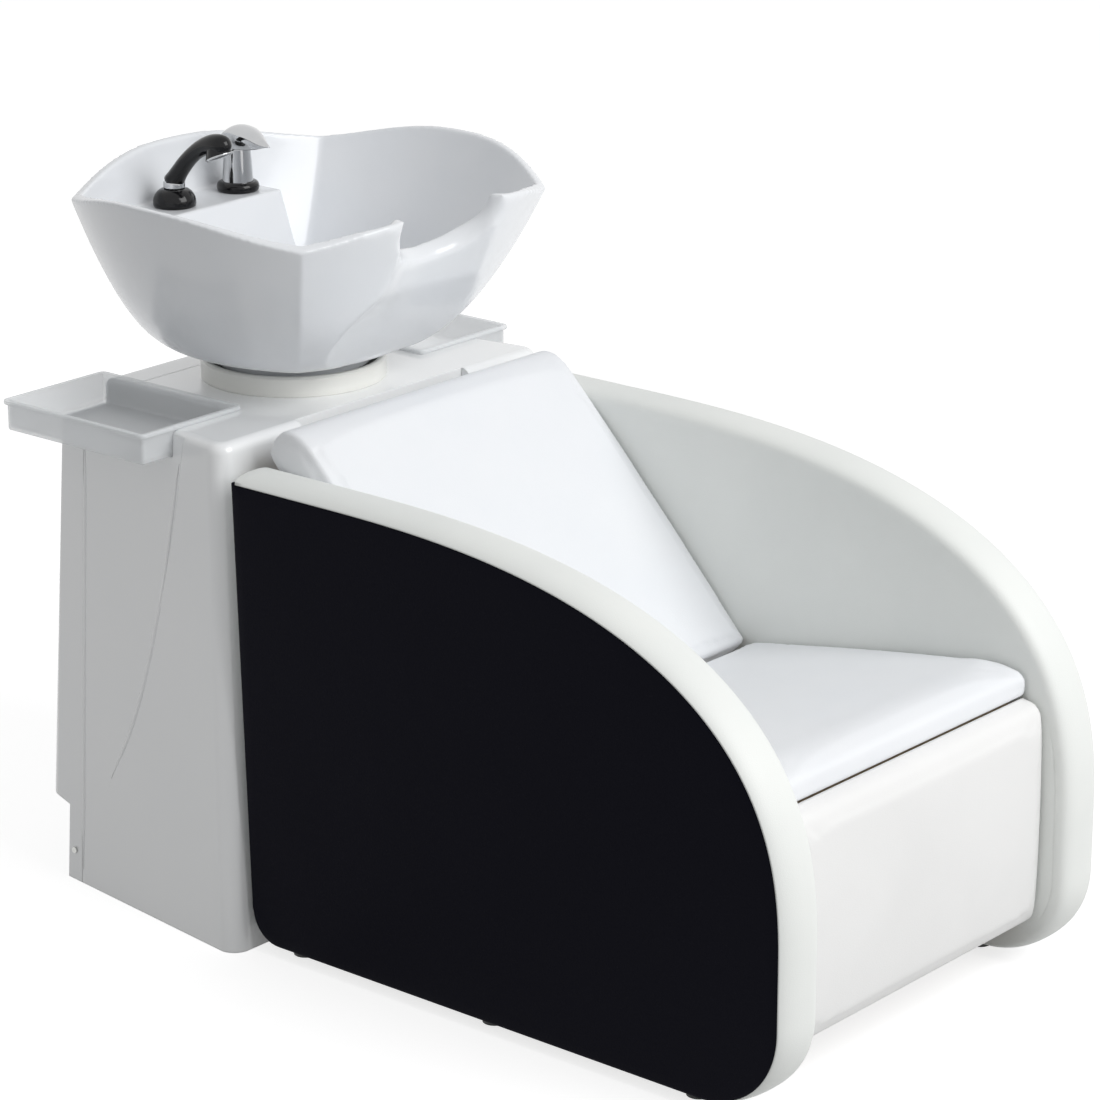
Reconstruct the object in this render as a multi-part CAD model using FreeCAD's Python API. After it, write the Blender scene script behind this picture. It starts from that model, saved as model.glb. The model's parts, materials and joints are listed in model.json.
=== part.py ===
"""Salon backwash unit: a reclined wash chair joined to a plinth cabinet with a tilting basin.

Millimetres, +Z up. The sitter faces -Y, and +X is the sitter's left. The origin lies on the floor,
straight below the round foot of the basin, in the middle of the four floor anchor holes.
"""
import FreeCAD
import Part
import math
import os

V = FreeCAD.Vector
UP = V(0, 0, 1)
ALONG_X = V(1, 0, 0)
ALONG_Y = V(0, 1, 0)
ORIGIN = V(0, 0, 0)
FAR = 2000.0                   # reach of a cutting block that is larger than the unit

# Fits
TOUCH = 0.3                    # gap between soft or lifted pieces and what they lie on
SLIP = 0.1                     # radial gap round a bolt, tail or stem in its hole
RUNNING_FIT = 0.05             # radial gap round a turning pin

# Chair
SEAT_WIDTH = 530.0             # clear width between the two sides
SEAT_REAR_Y = -591.0           # crease where the seat meets the back
SEAT_REAR_HEIGHT = 355.0
SEAT_DEPTH = 453.0
SEAT_SLOPE = 9.6               # degrees, rising towards the knees
SEAT_THICKNESS = 49.0
SEAT_CROWN = 7.0
BACK_ANGLE = 46.5              # degrees above the floor
BACK_LENGTH = 504.0
BACK_THICKNESS = 70.0
BACK_CROWN = 6.0
CUSHION_SIDE_GAP = 1.5         # between a cushion and the sides
CUSHION_DRAW_IN = 2.5          # how far the cushion's ends are pulled in
CUSHION_END_ROLL = 8.0         # stretch of each end over which it is pulled in
CUSHION_HEEL_ROUND = 8.0
SEAT_NOSE = 78.0               # length of the rounded front
SEAT_TUCK = 14.0               # how far the underside is drawn back below it
BACK_NOSE = 52.0               # length of the rounded top
BACK_TUCK = 20.0
SEAT_BOARD_SETBACK = 39.0      # seat board behind the cushion's front
BOARD_THICKNESS = 15.0
BOARD_SIDE_GAP = 0.5
APRON_REACH = 24.2             # face of the apron before the seat's lower front edge
APRON_THICKNESS = 36.0
APRON_FLOOR_GAP = 70.0
APRON_CROWN = 4.0
APRON_ROUND = 24.0             # rounded top and foot of the apron
APRON_DROP = 2.4               # its top below the seat's lower front edge
RAIL_WIDTH = 44.0
RAIL_HEIGHT = 60.0
TIE_RAIL_Y = -345.0

# Chair sides
ARM_THICKNESS = 75.0
ARM_HEIGHT = 651.0
ARM_REACH = 36.0               # front of the sides before the apron's face
ARM_FALL_Y = -355.0            # the flat top starts to fall away here
ARM_UPRIGHT_HEIGHT = 214.0     # the front is upright below this
ARM_CURVE_POWER = 2.64         # superellipse power of the fall
ARM_TOE_RADIUS = 120.0
ARM_HEEL_RADIUS = 45.0
ARM_REAR_LEAN = 0.0345         # the rear edge leans back by this much per millimetre of height
ARM_INNER_ROUND = 30.0
ARM_OUTER_ROUND = 5.0
PANEL_RIM = 6.5                # white band shown over and before the black panel
PANEL_THICKNESS = 8.0
PANEL_ROUND = 2.5
ARM_BOARD_THICKNESS = 30.0
ARM_BOARD_INSET = 28.0
GLIDE_HEIGHT = 15.0
GLIDE_RADIUS = 16.0
GLIDES_PER_SIDE = 3
CHAIR_GAP = 4.0                # between the sides and the cabinet

# Bolts of the chair
BOLT_RADIUS = 4.0
BOLT_HEAD_RADIUS = 8.0
BOLT_HEAD_HEIGHT = 5.0
BOLT_GRIP = 40.0               # depth of a bolt in the rail's end
BOLT_SPREAD = 26.0             # between the two bolts of one rail end

# Cabinet
CABINET_HEIGHT = 682.0
CABINET_HALF_WIDTH = 341.8     # at the floor, level with the basin's axis
CABINET_TAPER = 0.141         # half width lost per millimetre towards the rear
CABINET_DRAFT = 0.065         # half width lost per millimetre of height
CABINET_FRONT_Y = -227.0       # at the floor
CABINET_FRONT_LEAN = 0.078     # the front leans back by this much per millimetre of height
CABINET_REAR_Y = 191.0         # at the floor, before the toe recess
CABINET_REAR_LEAN = 0.0125
CABINET_WALL = 6.0
CABINET_CORNER_ROUND = 24.0
CABINET_TOP_ROUND = 15.0
SEAM_Y = 111.0                 # joint of shell and rear cover at the floor
SEAM_LEAN = 0.0213             # it leans to the rear by this much per millimetre of height
SEAM_GAP = 0.6
TOE_HEIGHT = 115.0
TOE_DEPTH = 48.5
TOE_SLOPE = 10.0
BACK_RECESS_HALF_WIDTH = 166.0
BACK_RECESS_DEPTH = 14.0
BACK_RECESS_DROP = 22.0
CREASE_DEPTH = 3.0             # step of the flank behind its curved crease
CREASE_TOP_Y = -97.0
CREASE_FOOT_Y = 63.0
CREASE_FOOT_HEIGHT = 137.0
CREASE_BOW = 28.0              # its middle in front of the straight line
TONGUE_REACH = 22.0            # the shell's strip inside the rear cover
TONGUE_ROOT = 20.0
TONGUE_HEIGHT = 572.0
COVER_SCREW_HEIGHT = 43.0
COVER_SCREW_SETBACK = 16.0     # behind the seam
COVER_SCREW_RADIUS = 2.0
COVER_SCREW_HEAD_RADIUS = 4.5
COVER_SCREW_HEAD_HEIGHT = 2.0

# Trays
TRAY_INNER_X = 177.0
TRAY_WIDTH = 189.0
TRAY_FRONT_Y = -76.0
TRAY_LENGTH = 268.0
TRAY_DEPTH = 43.0              # from the rim down to the underside
TRAY_WALL = 3.0
TRAY_LIP = 5.0
TRAY_LIP_HEIGHT = 6.0
TRAY_CORNER_ROUND = 7.0

# Pedestal
RAIL_SPACING = 300.0           # between the two floor rails
FLOOR_RAIL_WIDTH = 50.0
FLOOR_RAIL_HEIGHT = 8.0
FLOOR_RAIL_REAR_Y = 134.0
ANCHOR_SPACING = 236.0         # between the anchor holes of one rail
ANCHOR_RADIUS = 6.0
POST_SIZE = 40.0
POST_WALL = 3.0
POST_SPACING = 150.0
PLATE_THICKNESS = 8.0
PLATE_LENGTH = 240.0
PLATE_OPENING = 190.0          # length of the opening for the basin's carrier

# Tilt
PIVOT_DROP = 25.0              # pin axis below the top of the cabinet
TILT_PIN_RADIUS = 8.0
TILT_PIN_HEAD_RADIUS = 10.5
TILT_PIN_HEAD_HEIGHT = 5.0
HANGER_X = 100.0
HANGER_THICKNESS = 8.0
HANGER_WIDTH = 50.0
HANGER_BELOW_PIN = 20.0
LUG_THICKNESS = 8.0
LUG_WIDTH = 40.0
WASHER_THICKNESS = 1.2
WASHER_RADIUS = 17.0
BUSH_RADIUS = 11.0
CLIP_RADIUS = 11.0
CLIP_THICKNESS = 1.6

# Collar
COLLAR_RADIUS = 127.5
COLLAR_WALL = 7.0
COLLAR_HEIGHT = 28.0
COLLAR_ROUND = 3.0

# Basin
FOOT_RADIUS = 107.0
FOOT_DROP = 8.0                # how far the foot reaches into the collar
FOOT_RISE = 6.0                # top of the straight foot above the collar
FOOT_THICKNESS = 32.0
BELLY_RISE = 19.0              # lowest ridge points above the collar
BELLY_HALF = 119.0
BELLY_BOW = 34.0
RIM_CORNER_X = 243.0
RIM_CORNER_FRONT_Y = -251.0
RIM_CORNER_REAR_Y = 172.0
RIM_SIDE_BOW = 60.0
RIM_FRONT_BOW = 54.0
RIM_REAR_BOW = 52.0
RIDGE_HEIGHT = 211.0           # from the lowest ridge points to the rim's corners
RIDGE_POWER = 0.58             # how quickly the ridges swing outwards
BOWL_STEPS = 10                # plans that the bowl is drawn through
BOWL_OVERRUN = 1.3             # share of the ridge height at which the bowl is cut off by its rim
RIM_RISE = 34.0                # middle of the rim above its corners
RIM_POWER = 2.6                # how late the rim falls towards its corners
RIM_TILT = 4.5                 # rear edge up and front edge down by this much
RIM_OVERREACH = 1.2            # size of the rim's cutting sheet to the bowl's
BASIN_WALL = 13.0
NOTCH_WIDTH = 166.0
NOTCH_DEPTH = 96.0             # below the middle of the rim, at the line of its front corners
NOTCH_FALL = 0.75              # slope of the notch towards the front
NOTCH_INNER_Y = -150.0         # rear end of the cut that makes it
NECK_SADDLE = 36.0             # thickness of the front wall where the neck lies
TROUGH_DEPTH = 30.0            # hollow of the front face between the notch's shoulders
TROUGH_WAIST_SHARE = 0.55      # of the ridge height
TROUGH_WAIST_DEPTH = 20.0
TROUGH_WAIST_WIDTH = 190.0
TROUGH_FOOT_DEPTH = 1.0
TROUGH_FOOT_WIDTH = 90.0
DECK_HALF_WIDTH = 105.0
DECK_FRONT_Y = 118.0
DECK_DROP = 37.0               # deck below the rim's corners
DECK_FRONT_SLOPE = 0.35
SERVICE_WINDOW_HALF_WIDTH = 78.0
SERVICE_WINDOW_HEIGHT = 62.0

# Basin carrier and waste
GASKET_THICKNESS = 3.0
CARRIER_THICKNESS = 8.0
CARRIER_RADIUS = 98.0
WASTE_RADIUS = 20.0
WASTE_WALL = 4.0
WASTE_FLANGE_RADIUS = 36.0
WASTE_FLANGE_THICKNESS = 4.0
WASTE_LENGTH = 76.0
WASTE_NUT_RADIUS = 32.0
WASTE_NUT_HEIGHT = 12.0
STRAINER_RADIUS = 23.0
STRAINER_THICKNESS = 2.0
STRAINER_HOLES = 8
STRAINER_HOLE_RADIUS = 2.6
STRAINER_HOLE_RING = 11.2
STRAINER_KNOB_RADIUS = 5.0
STRAINER_KNOB_HEIGHT = 4.0
TRAP_RADIUS = 36.0
TRAP_HEIGHT = 92.0
TRAP_WALL = 4.0
TRAP_NUT_HEIGHT = 20.0
TRAP_NUT_WALL = 6.0
OUTLET_RADIUS = 16.0
OUTLET_DROP = 24.0             # its axis below the shoulder of the trap
OUTLET_LENGTH = 54.0

# Mixer
TAP_SPACING = 124.0
TAP_Y = 160.0
TAP_NUT_HEIGHT = 10.0
TAP_NUT_RADIUS = 19.0
TAP_TAIL_RADIUS = 12.0
TAP_TAIL_LENGTH = 34.0
MIXER_RING_RADIUS = 28.0
MIXER_RING_HEIGHT = 14.0
MIXER_RING_ROUND = 4.2
MIXER_RADIUS = 18.5            # at the ball
MIXER_FOOT_RADIUS = 21.5       # on the ring
MIXER_SPIGOT_RADIUS = 14.8     # in the ring
MIXER_HEIGHT = 58.0            # deck to the middle of the ball that the lever turns on
MIXER_BORE = 13.0
MIXER_MOUTH = 11.0             # ball cut off this far above its middle
INLET_RADIUS = 4.0
INLET_DEPTH = 14.0
ROTOR_HEIGHT = 26.0
ROTOR_CHEEK_RISE = 5.0
ROTOR_SLOT_DROP = 6.75         # below the middle of the ball
STEM_WIDTH = 9.0
STEM_RISE = 24.0
LEVER_PIN_RADIUS = 2.0
LEVER_SKIRT_RISE = 8.0         # lower edge of the lever above the middle of the ball
LEVER_GAP = 0.5
LEVER_RADIUS = 23.0
LEVER_TOP_RISE = 36.0
LEVER_REACH = 60.0
LEVER_TIP_RADIUS = 5.0
LEVER_TIP_THICKNESS = 5.0
LEVER_SHOULDER = 3.5           # widest place in front of the axis
LEVER_SWELL = 1.12             # fullness of its sides against a straight line
LEVER_CROWN_RADIUS = 11.5
LEVER_CROWN_REACH = 16.0

# Hand shower
DOCK_RADIUS = 28.5
DOCK_FOOT_RADIUS = 26.5
DOCK_HEIGHT = 25.0
DOCK_STEPS = 4
DOCK_TOP_RADIUS = 15.0
DOCK_BORE = 10.0
SPIGOT_LENGTH = 20.0
BAND_RADIUS = 14.0
BAND_HEIGHT = 9.0
HANDLE_RADIUS = 11.5
HEAD_RADIUS = 15.0
HANDLE_RISE = 63.0             # middle of the head above the band
HANDLE_REACH = 88.0            # middle of the head in front of the dock's axis
HEAD_LENGTH = 22.5             # from the middle of the head to the flat of its nose
HEAD_SHOULDER = 12.0           # full up to here
HEAD_SHOULDER_RADIUS = 14.4
HEAD_NOSE_RADIUS = 9.0
SPRAY_SETBACK = 6.0            # spray ring behind the middle of the head
SPRAY_LEAN = 0.45              # forward per millimetre down
SPRAY_RING_RADIUS = 13.0
SPRAY_RING_HEIGHT = 9.6
SPRAY_RING_SEAT = 6.0          # depth of the ring in the head
SPRAY_RING_WALL = 2.5
SPRAY_PLATE_THICKNESS = 2.4
SPRAY_HOLES = 8
SPRAY_HOLE_RING = 6.8
SPRAY_HOLE_RADIUS = 1.2

# Worked out from the sizes above
ARM_INNER_X = SEAT_WIDTH / 2
ARM_OUTER_X = ARM_INNER_X + ARM_THICKNESS
ARM_BOARD_X = ARM_INNER_X + (ARM_THICKNESS - ARM_BOARD_THICKNESS) / 2
COLLAR_TOP = CABINET_HEIGHT + COLLAR_HEIGHT
FOOT_Z = COLLAR_TOP - FOOT_DROP
BELLY_Z = COLLAR_TOP + BELLY_RISE
CORNER_Z = BELLY_Z + RIDGE_HEIGHT
DECK_Z = CORNER_Z - DECK_DROP
PIVOT_Z = CABINET_HEIGHT - PIVOT_DROP
PLATE_TOP = CABINET_HEIGHT - CABINET_WALL
PLATE_BOTTOM = PLATE_TOP - PLATE_THICKNESS
CARRIER_TOP = FOOT_Z - GASKET_THICKNESS
CARRIER_BOTTOM = CARRIER_TOP - CARRIER_THICKNESS
LUG_X = HANGER_X - WASHER_THICKNESS - 2 * TOUCH - LUG_THICKNESS
FLANGE_SEAT = FOOT_Z + FOOT_THICKNESS - WASTE_FLANGE_THICKNESS
WASTE_END = FLANGE_SEAT - WASTE_LENGTH
BALL_Z = DECK_Z + MIXER_HEIGHT
DOCK_TOP = DECK_Z + DOCK_HEIGHT
BAND_TOP = DOCK_TOP + TOUCH + BAND_HEIGHT


# Shape helpers

def box(x0, x1, y0, y1, z0, z1):
    return Part.makeBox(x1 - x0, y1 - y0, z1 - z0, V(x0, y0, z0))


def rod(radius, start, end):
    along = end - start
    return Part.makeCylinder(radius, along.Length, start, along)


def tube(outer, inner, start, end):
    return rod(outer, start, end).cut(rod(inner, start, end))


def line(a, b):
    return Part.makeLine(a, b)


def arc(a, middle, b):
    return Part.Arc(a, middle, b).toShape()


def solid_between(wires, ruled=False):
    return Part.makeLoft(wires, True, ruled)


def slab(outline, x0, x1):
    """A flat piece across the unit, from its outline of (y, z) points."""
    corners = [V(x0, y, z) for y, z in outline]
    face = Part.Face(Part.makePolygon(corners + corners[:1]))
    return face.extrude(V(x1 - x0, 0, 0))


def turned(profile, x=0.0, y=0.0):
    """A solid of revolution about an upright axis, from its (radius, z) points."""
    corners = [V(r, 0, z) for r, z in profile]
    face = Part.Face(Part.makePolygon(corners + corners[:1]))
    solid = face.revolve(ORIGIN, UP, 360)
    solid.translate(V(x, y, 0))
    return solid


def hexagon_nut(across, bore, height, base):
    corners = [
        base + V(across * math.cos(math.radians(a)), across * math.sin(math.radians(a)), 0)
        for a in range(0, 360, 60)
    ]
    face = Part.Face(Part.makePolygon(corners + corners[:1]))
    return face.extrude(UP * height).cut(rod(bore, base, base + UP * height))


def mirrored(shape):
    return shape.mirror(ORIGIN, ALONG_X)


def both_sides(shape):
    return Part.makeCompound([shape, mirrored(shape)])


def cut_all(shape, tools):
    for tool in tools:
        shape = shape.cut(tool)
    return shape


def edges_where(shape, test):
    return [edge for edge in shape.Edges if test(edge)]


class Slope:
    """Directions along and square to a sloping face, in the plane of symmetry."""

    def __init__(self, y, z, along_y, along_z):
        self.origin = (y, z)
        self.along = (along_y, along_z)
        self.out = (along_z, -along_y) if along_y < 0 else (-along_z, along_y)

    def at(self, distance, height):
        y = self.origin[0] + self.along[0] * distance + self.out[0] * height
        z = self.origin[1] + self.along[1] * distance + self.out[1] * height
        return y, z

    def point(self, x, distance, height):
        y, z = self.at(distance, height)
        return V(x, y, z)

    def block(self, d0, d1, h0, h1, half_width):
        outline = [self.at(d0, h0), self.at(d1, h0), self.at(d1, h1), self.at(d0, h1)]
        return slab(outline, -half_width, half_width)


SEAT = Slope(
    SEAT_REAR_Y,
    SEAT_REAR_HEIGHT,
    -math.cos(math.radians(SEAT_SLOPE)),
    math.sin(math.radians(SEAT_SLOPE)),
)
BACK = Slope(
    SEAT_REAR_Y,
    SEAT_REAR_HEIGHT,
    math.cos(math.radians(BACK_ANGLE)),
    math.sin(math.radians(BACK_ANGLE)),
)
APRON_FRONT_Y = SEAT.at(SEAT_DEPTH, -SEAT_THICKNESS)[0] - APRON_REACH
ARM_FRONT_Y = APRON_FRONT_Y - ARM_REACH
SEAT_BOARD_TOP = -SEAT_THICKNESS - TOUCH
SEAT_BOARD_BOTTOM = SEAT_BOARD_TOP - BOARD_THICKNESS
BACK_BOARD_FRONT = -BACK_THICKNESS - TOUCH
BACK_BOARD_REAR = BACK_BOARD_FRONT - BOARD_THICKNESS


# Cushions

def nose_curve(at, end, top, bottom, nose, tuck):
    """Rounded end of a cushion: two quarter ellipses, long above and short below."""
    middle = (top + bottom) / 2
    steps = 5
    points = []
    for index in range(steps + 1):
        angle = math.pi / 2 * index / steps
        points.append(at(end - nose + nose * math.sin(angle), middle + (top - middle) * math.cos(angle)))
    for index in range(1, steps + 1):
        angle = math.pi / 2 * index / steps
        points.append(at(end - tuck + tuck * math.cos(angle), middle + (bottom - middle) * math.sin(angle)))
    along = at(1, 0) - at(0, 0)
    curve = Part.BSplineCurve()
    curve.interpolate(Points=points, InitialTangent=along, FinalTangent=-along)
    return curve.toShape()


def cushion_profile(slope, x, draw_in, crown, length, thickness, nose, tuck):
    """One section of a cushion: flat underside, crowned top, rounded heel and a full round nose."""
    top = -draw_in
    bottom = -thickness
    start = draw_in
    end = length - draw_in
    heel = CUSHION_HEEL_ROUND
    middle = (start + heel + end - nose) / 2
    diagonal = heel * (1 - math.sqrt(0.5))

    def at(distance, height):
        return slope.point(x, distance, height)

    return Part.Wire([
        line(at(end - tuck, bottom), at(start, bottom)),
        line(at(start, bottom), at(start, top - heel)),
        arc(at(start, top - heel), at(start + diagonal, top - diagonal), at(start + heel, top)),
        arc(at(start + heel, top), at(middle, top + crown), at(end - nose, top)),
        nose_curve(at, end, top, bottom, nose, tuck),
    ])


def end_roll_stations(half_width):
    """Places across a cushion with how far each is pulled in: a quarter round at both ends."""
    straight = half_width - CUSHION_END_ROLL
    ends = []
    for degrees in (90, 60, 30, 0):
        angle = math.radians(degrees)
        x = straight + CUSHION_END_ROLL * math.sin(angle)
        ends.append((x, CUSHION_DRAW_IN * (1 - math.cos(angle))))
    inner = [(straight * share, 0.0) for share in (0.7, 0.35, 0.0, -0.35, -0.7)]
    return ends + inner + [(-x, draw_in) for x, draw_in in reversed(ends)]


def crowned_cushion(slope, length, thickness, crown, nose, tuck):
    """A cushion lofted across the unit: fullest in the middle, pulled in at both ends."""
    half_width = cushion_half_width()
    wires = []
    for x, draw_in in end_roll_stations(half_width):
        fullness = 1 - (x / half_width) ** 2 / 2
        wires.append(cushion_profile(slope, x, draw_in, crown * fullness, length, thickness, nose, tuck))
    return solid_between(wires, ruled=True)


def cushion_half_width():
    return ARM_INNER_X - CUSHION_SIDE_GAP


def seat_cushion():
    return crowned_cushion(SEAT, SEAT_DEPTH, SEAT_THICKNESS, SEAT_CROWN, SEAT_NOSE, SEAT_TUCK)


def back_cushion():
    return crowned_cushion(BACK, BACK_LENGTH, BACK_THICKNESS, BACK_CROWN, BACK_NOSE, BACK_TUCK)


def seat_front_edge():
    """Lower front edge of the seat cushion, under which the apron starts."""
    return SEAT.at(SEAT_DEPTH, -SEAT_THICKNESS)


def apron_top():
    return seat_front_edge()[1] - APRON_DROP


def front_apron():
    """Padded front: bowed face, rounded top and foot, lofted across the unit."""
    rear = APRON_FRONT_Y + APRON_THICKNESS
    diagonal = APRON_ROUND * (1 - math.sqrt(0.5))

    def profile(x, draw_in):
        face = APRON_FRONT_Y + draw_in
        high = apron_top() - draw_in / 2
        low = APRON_FLOOR_GAP + draw_in / 2

        def at(y, z):
            return V(x, y, z)

        return Part.Wire([
            line(at(rear, low), at(rear, high)),
            line(at(rear, high), at(face + APRON_ROUND, high)),
            arc(
                at(face + APRON_ROUND, high),
                at(face + diagonal, high - diagonal),
                at(face, high - APRON_ROUND),
            ),
            arc(
                at(face, high - APRON_ROUND),
                at(face - APRON_CROWN, (high + low) / 2),
                at(face, low + APRON_ROUND),
            ),
            arc(
                at(face, low + APRON_ROUND),
                at(face + diagonal, low + diagonal),
                at(face + APRON_ROUND, low),
            ),
            line(at(face + APRON_ROUND, low), at(rear, low)),
        ])

    stations = end_roll_stations(cushion_half_width())
    return solid_between([profile(x, draw_in) for x, draw_in in stations], ruled=True)


# Boards and rails of the chair

def board_half_width():
    return ARM_INNER_X - BOARD_SIDE_GAP


def apron_board():
    front = APRON_FRONT_Y + APRON_THICKNESS + TOUCH
    low = APRON_FLOOR_GAP + APRON_CROWN
    high = seat_board_front_low() - TOUCH
    half = board_half_width()
    return box(-half, half, front, front + BOARD_THICKNESS, low, high)


def seat_board_end():
    return SEAT_DEPTH - SEAT_BOARD_SETBACK


def seat_board_front_low():
    """Height of the seat board's underside where it reaches over the apron board."""
    return SEAT.at(seat_board_end(), SEAT_BOARD_BOTTOM)[1] - BOARD_THICKNESS


def back_board_foot():
    """Where the back board's lower rear edge lands on the seat board."""
    out_dot = BACK.out[0] * SEAT.out[0] + BACK.out[1] * SEAT.out[1]
    along_dot = BACK.along[0] * SEAT.out[0] + BACK.along[1] * SEAT.out[1]
    return (SEAT_BOARD_TOP + TOUCH - BACK_BOARD_REAR * out_dot) / along_dot


def seat_board():
    return SEAT.block(-RAIL_HEIGHT - BOARD_THICKNESS, seat_board_end(),
                      SEAT_BOARD_BOTTOM, SEAT_BOARD_TOP, board_half_width())


def back_board():
    return BACK.block(back_board_foot(), BACK_LENGTH - BACK_NOSE,
                      BACK_BOARD_REAR, BACK_BOARD_FRONT, board_half_width())


def rail_sections():
    """Name, slope and section of each sloping cross rail: d0, d1, h0, h1."""
    front_start = seat_board_end() - RAIL_WIDTH - BOARD_THICKNESS * 2
    back_end = BACK_LENGTH - BACK_NOSE - RAIL_HEIGHT
    return {
        "front_rail": (SEAT, front_start, front_start + RAIL_WIDTH,
                       SEAT_BOARD_BOTTOM - RAIL_HEIGHT, SEAT_BOARD_BOTTOM),
        "rear_rail": (SEAT, -RAIL_HEIGHT, -RAIL_HEIGHT + RAIL_WIDTH,
                      SEAT_BOARD_BOTTOM - RAIL_HEIGHT, SEAT_BOARD_BOTTOM),
        "back_rail": (BACK, back_end - RAIL_HEIGHT, back_end,
                      BACK_BOARD_REAR - RAIL_WIDTH, BACK_BOARD_REAR),
    }


def tie_rail_outline():
    """Low cross rail that stands on the floor rails of the pedestal."""
    return TIE_RAIL_Y, TIE_RAIL_Y + RAIL_WIDTH, FLOOR_RAIL_HEIGHT, FLOOR_RAIL_HEIGHT + RAIL_HEIGHT


def rail_bolt_points():
    """(y, z) of every bolt that joins a rail's end to a side."""
    points = []
    for slope, d0, d1, h0, h1 in rail_sections().values():
        d = (d0 + d1) / 2
        h = (h0 + h1) / 2
        if d1 - d0 > h1 - h0:
            points += [slope.at(d - BOLT_SPREAD / 2, h), slope.at(d + BOLT_SPREAD / 2, h)]
        else:
            points += [slope.at(d, h - BOLT_SPREAD / 2), slope.at(d, h + BOLT_SPREAD / 2)]
    y0, y1, z0, z1 = tie_rail_outline()
    middle = (y0 + y1) / 2
    for side in (-1, 1):
        points.append((middle, (z0 + z1) / 2 + side * BOLT_SPREAD / 2))
    return points


def bolt_holes(radius, x0, x1):
    return [rod(radius, V(x0, y, z), V(x1, y, z)) for y, z in rail_bolt_points()]


def drilled_rail(shape):
    half = ARM_INNER_X
    holes = bolt_holes(BOLT_RADIUS + SLIP, half - BOLT_GRIP, half)
    return cut_all(shape, holes + [mirrored(hole) for hole in holes])


def cross_rails():
    rails = {}
    for name, (slope, d0, d1, h0, h1) in rail_sections().items():
        rails[name] = drilled_rail(slope.block(d0, d1, h0, h1, ARM_INNER_X))
    y0, y1, z0, z1 = tie_rail_outline()
    rails["tie_rail"] = drilled_rail(box(-ARM_INNER_X, ARM_INNER_X, y0, y1, z0, z1))
    return rails


def rail_bolts():
    """Bolts from under each outer panel, through the side's board, into the rails."""
    seat = ARM_BOARD_X + ARM_BOARD_THICKNESS
    bolts = []
    for y, z in rail_bolt_points():
        shank = rod(BOLT_RADIUS, V(ARM_INNER_X - BOLT_GRIP, y, z), V(seat, y, z))
        head = rod(BOLT_HEAD_RADIUS, V(seat, y, z), V(seat + BOLT_HEAD_HEIGHT, y, z))
        bolt = shank.fuse(head).removeSplitter()
        bolts += [bolt, mirrored(bolt)]
    return Part.makeCompound(bolts)


# Sides of the chair

def cabinet_front(z):
    return CABINET_FRONT_Y + CABINET_FRONT_LEAN * z


def arm_rear(z):
    return CABINET_FRONT_Y - CHAIR_GAP + ARM_REAR_LEAN * z


def arm_fall(x, front, top):
    """Curve from the upright front to the flat top of a side, as a quarter superellipse."""
    steps = 8
    power = 2 / ARM_CURVE_POWER
    points = []
    for index in range(steps + 1):
        angle = math.pi / 2 * index / steps
        y = ARM_FALL_Y + (front - ARM_FALL_Y) * math.cos(angle) ** power
        z = ARM_UPRIGHT_HEIGHT + (top - ARM_UPRIGHT_HEIGHT) * math.sin(angle) ** power
        points.append(V(x, y, z))
    curve = Part.BSplineCurve()
    curve.interpolate(Points=points, InitialTangent=UP, FinalTangent=ALONG_Y)
    return curve.toShape()


def arm_heel(rear_low, lean, radius):
    """Round lower rear corner between the bottom and the leaning rear edge: its ends and its arc."""
    up = V(0, lean, 1).normalize()
    forward = V(0, -1, 0)
    half_angle = up.getAngle(forward) / 2
    inward = (up + forward).normalize()
    reach = radius / math.tan(half_angle)
    middle = rear_low + inward * (radius / math.sin(half_angle) - radius)
    rear_end = rear_low + up * reach
    foot_end = rear_low + forward * reach
    return foot_end, rear_end, arc(foot_end, middle, rear_end)


def arm_outline(x, inset, bottom, rear_inset):
    """Side view of a chair side: leaning rear edge, flat top, curved fall, round toe and heel."""
    top = ARM_HEIGHT - inset
    front = ARM_FRONT_Y + inset
    toe = ARM_TOE_RADIUS - inset
    diagonal = toe * (1 - math.sqrt(0.5))
    rear_low = V(x, arm_rear(bottom) - rear_inset, bottom)
    rear_top = V(x, arm_rear(top) - rear_inset, top)
    foot_end, rear_end, heel = arm_heel(rear_low, ARM_REAR_LEAN, ARM_HEEL_RADIUS - rear_inset)
    toe_top = V(x, front, bottom + toe)
    toe_foot = V(x, front + toe, bottom)
    toe_middle = V(x, front + diagonal, bottom + diagonal)
    edges = [
        heel,
        line(rear_end, rear_top),
        line(rear_top, V(x, ARM_FALL_Y, top)),
        arm_fall(x, front, top),
        line(V(x, front, ARM_UPRIGHT_HEIGHT), toe_top),
        arc(toe_top, toe_middle, toe_foot),
        line(toe_foot, foot_end),
    ]
    return Part.Wire(Part.__sortEdges__(edges))


def arm_plate(x0, x1, inset, bottom, rear_inset):
    return Part.Face(arm_outline(x0, inset, bottom, rear_inset)).extrude(V(x1 - x0, 0, 0))


def in_plane_x(x):
    def test(edge):
        bounds = edge.BoundBox
        return abs(bounds.XMin - x) < TOUCH and abs(bounds.XMax - x) < TOUCH
    return test


def arm_core():
    return arm_plate(ARM_BOARD_X, ARM_BOARD_X + ARM_BOARD_THICKNESS, ARM_BOARD_INSET, GLIDE_HEIGHT,
                     ARM_BOARD_INSET)


def arm_board():
    """Board core of a side, down to its glides."""
    return cut_all(arm_core(), bolt_holes(BOLT_RADIUS + SLIP, ARM_INNER_X, ARM_OUTER_X))


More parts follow.
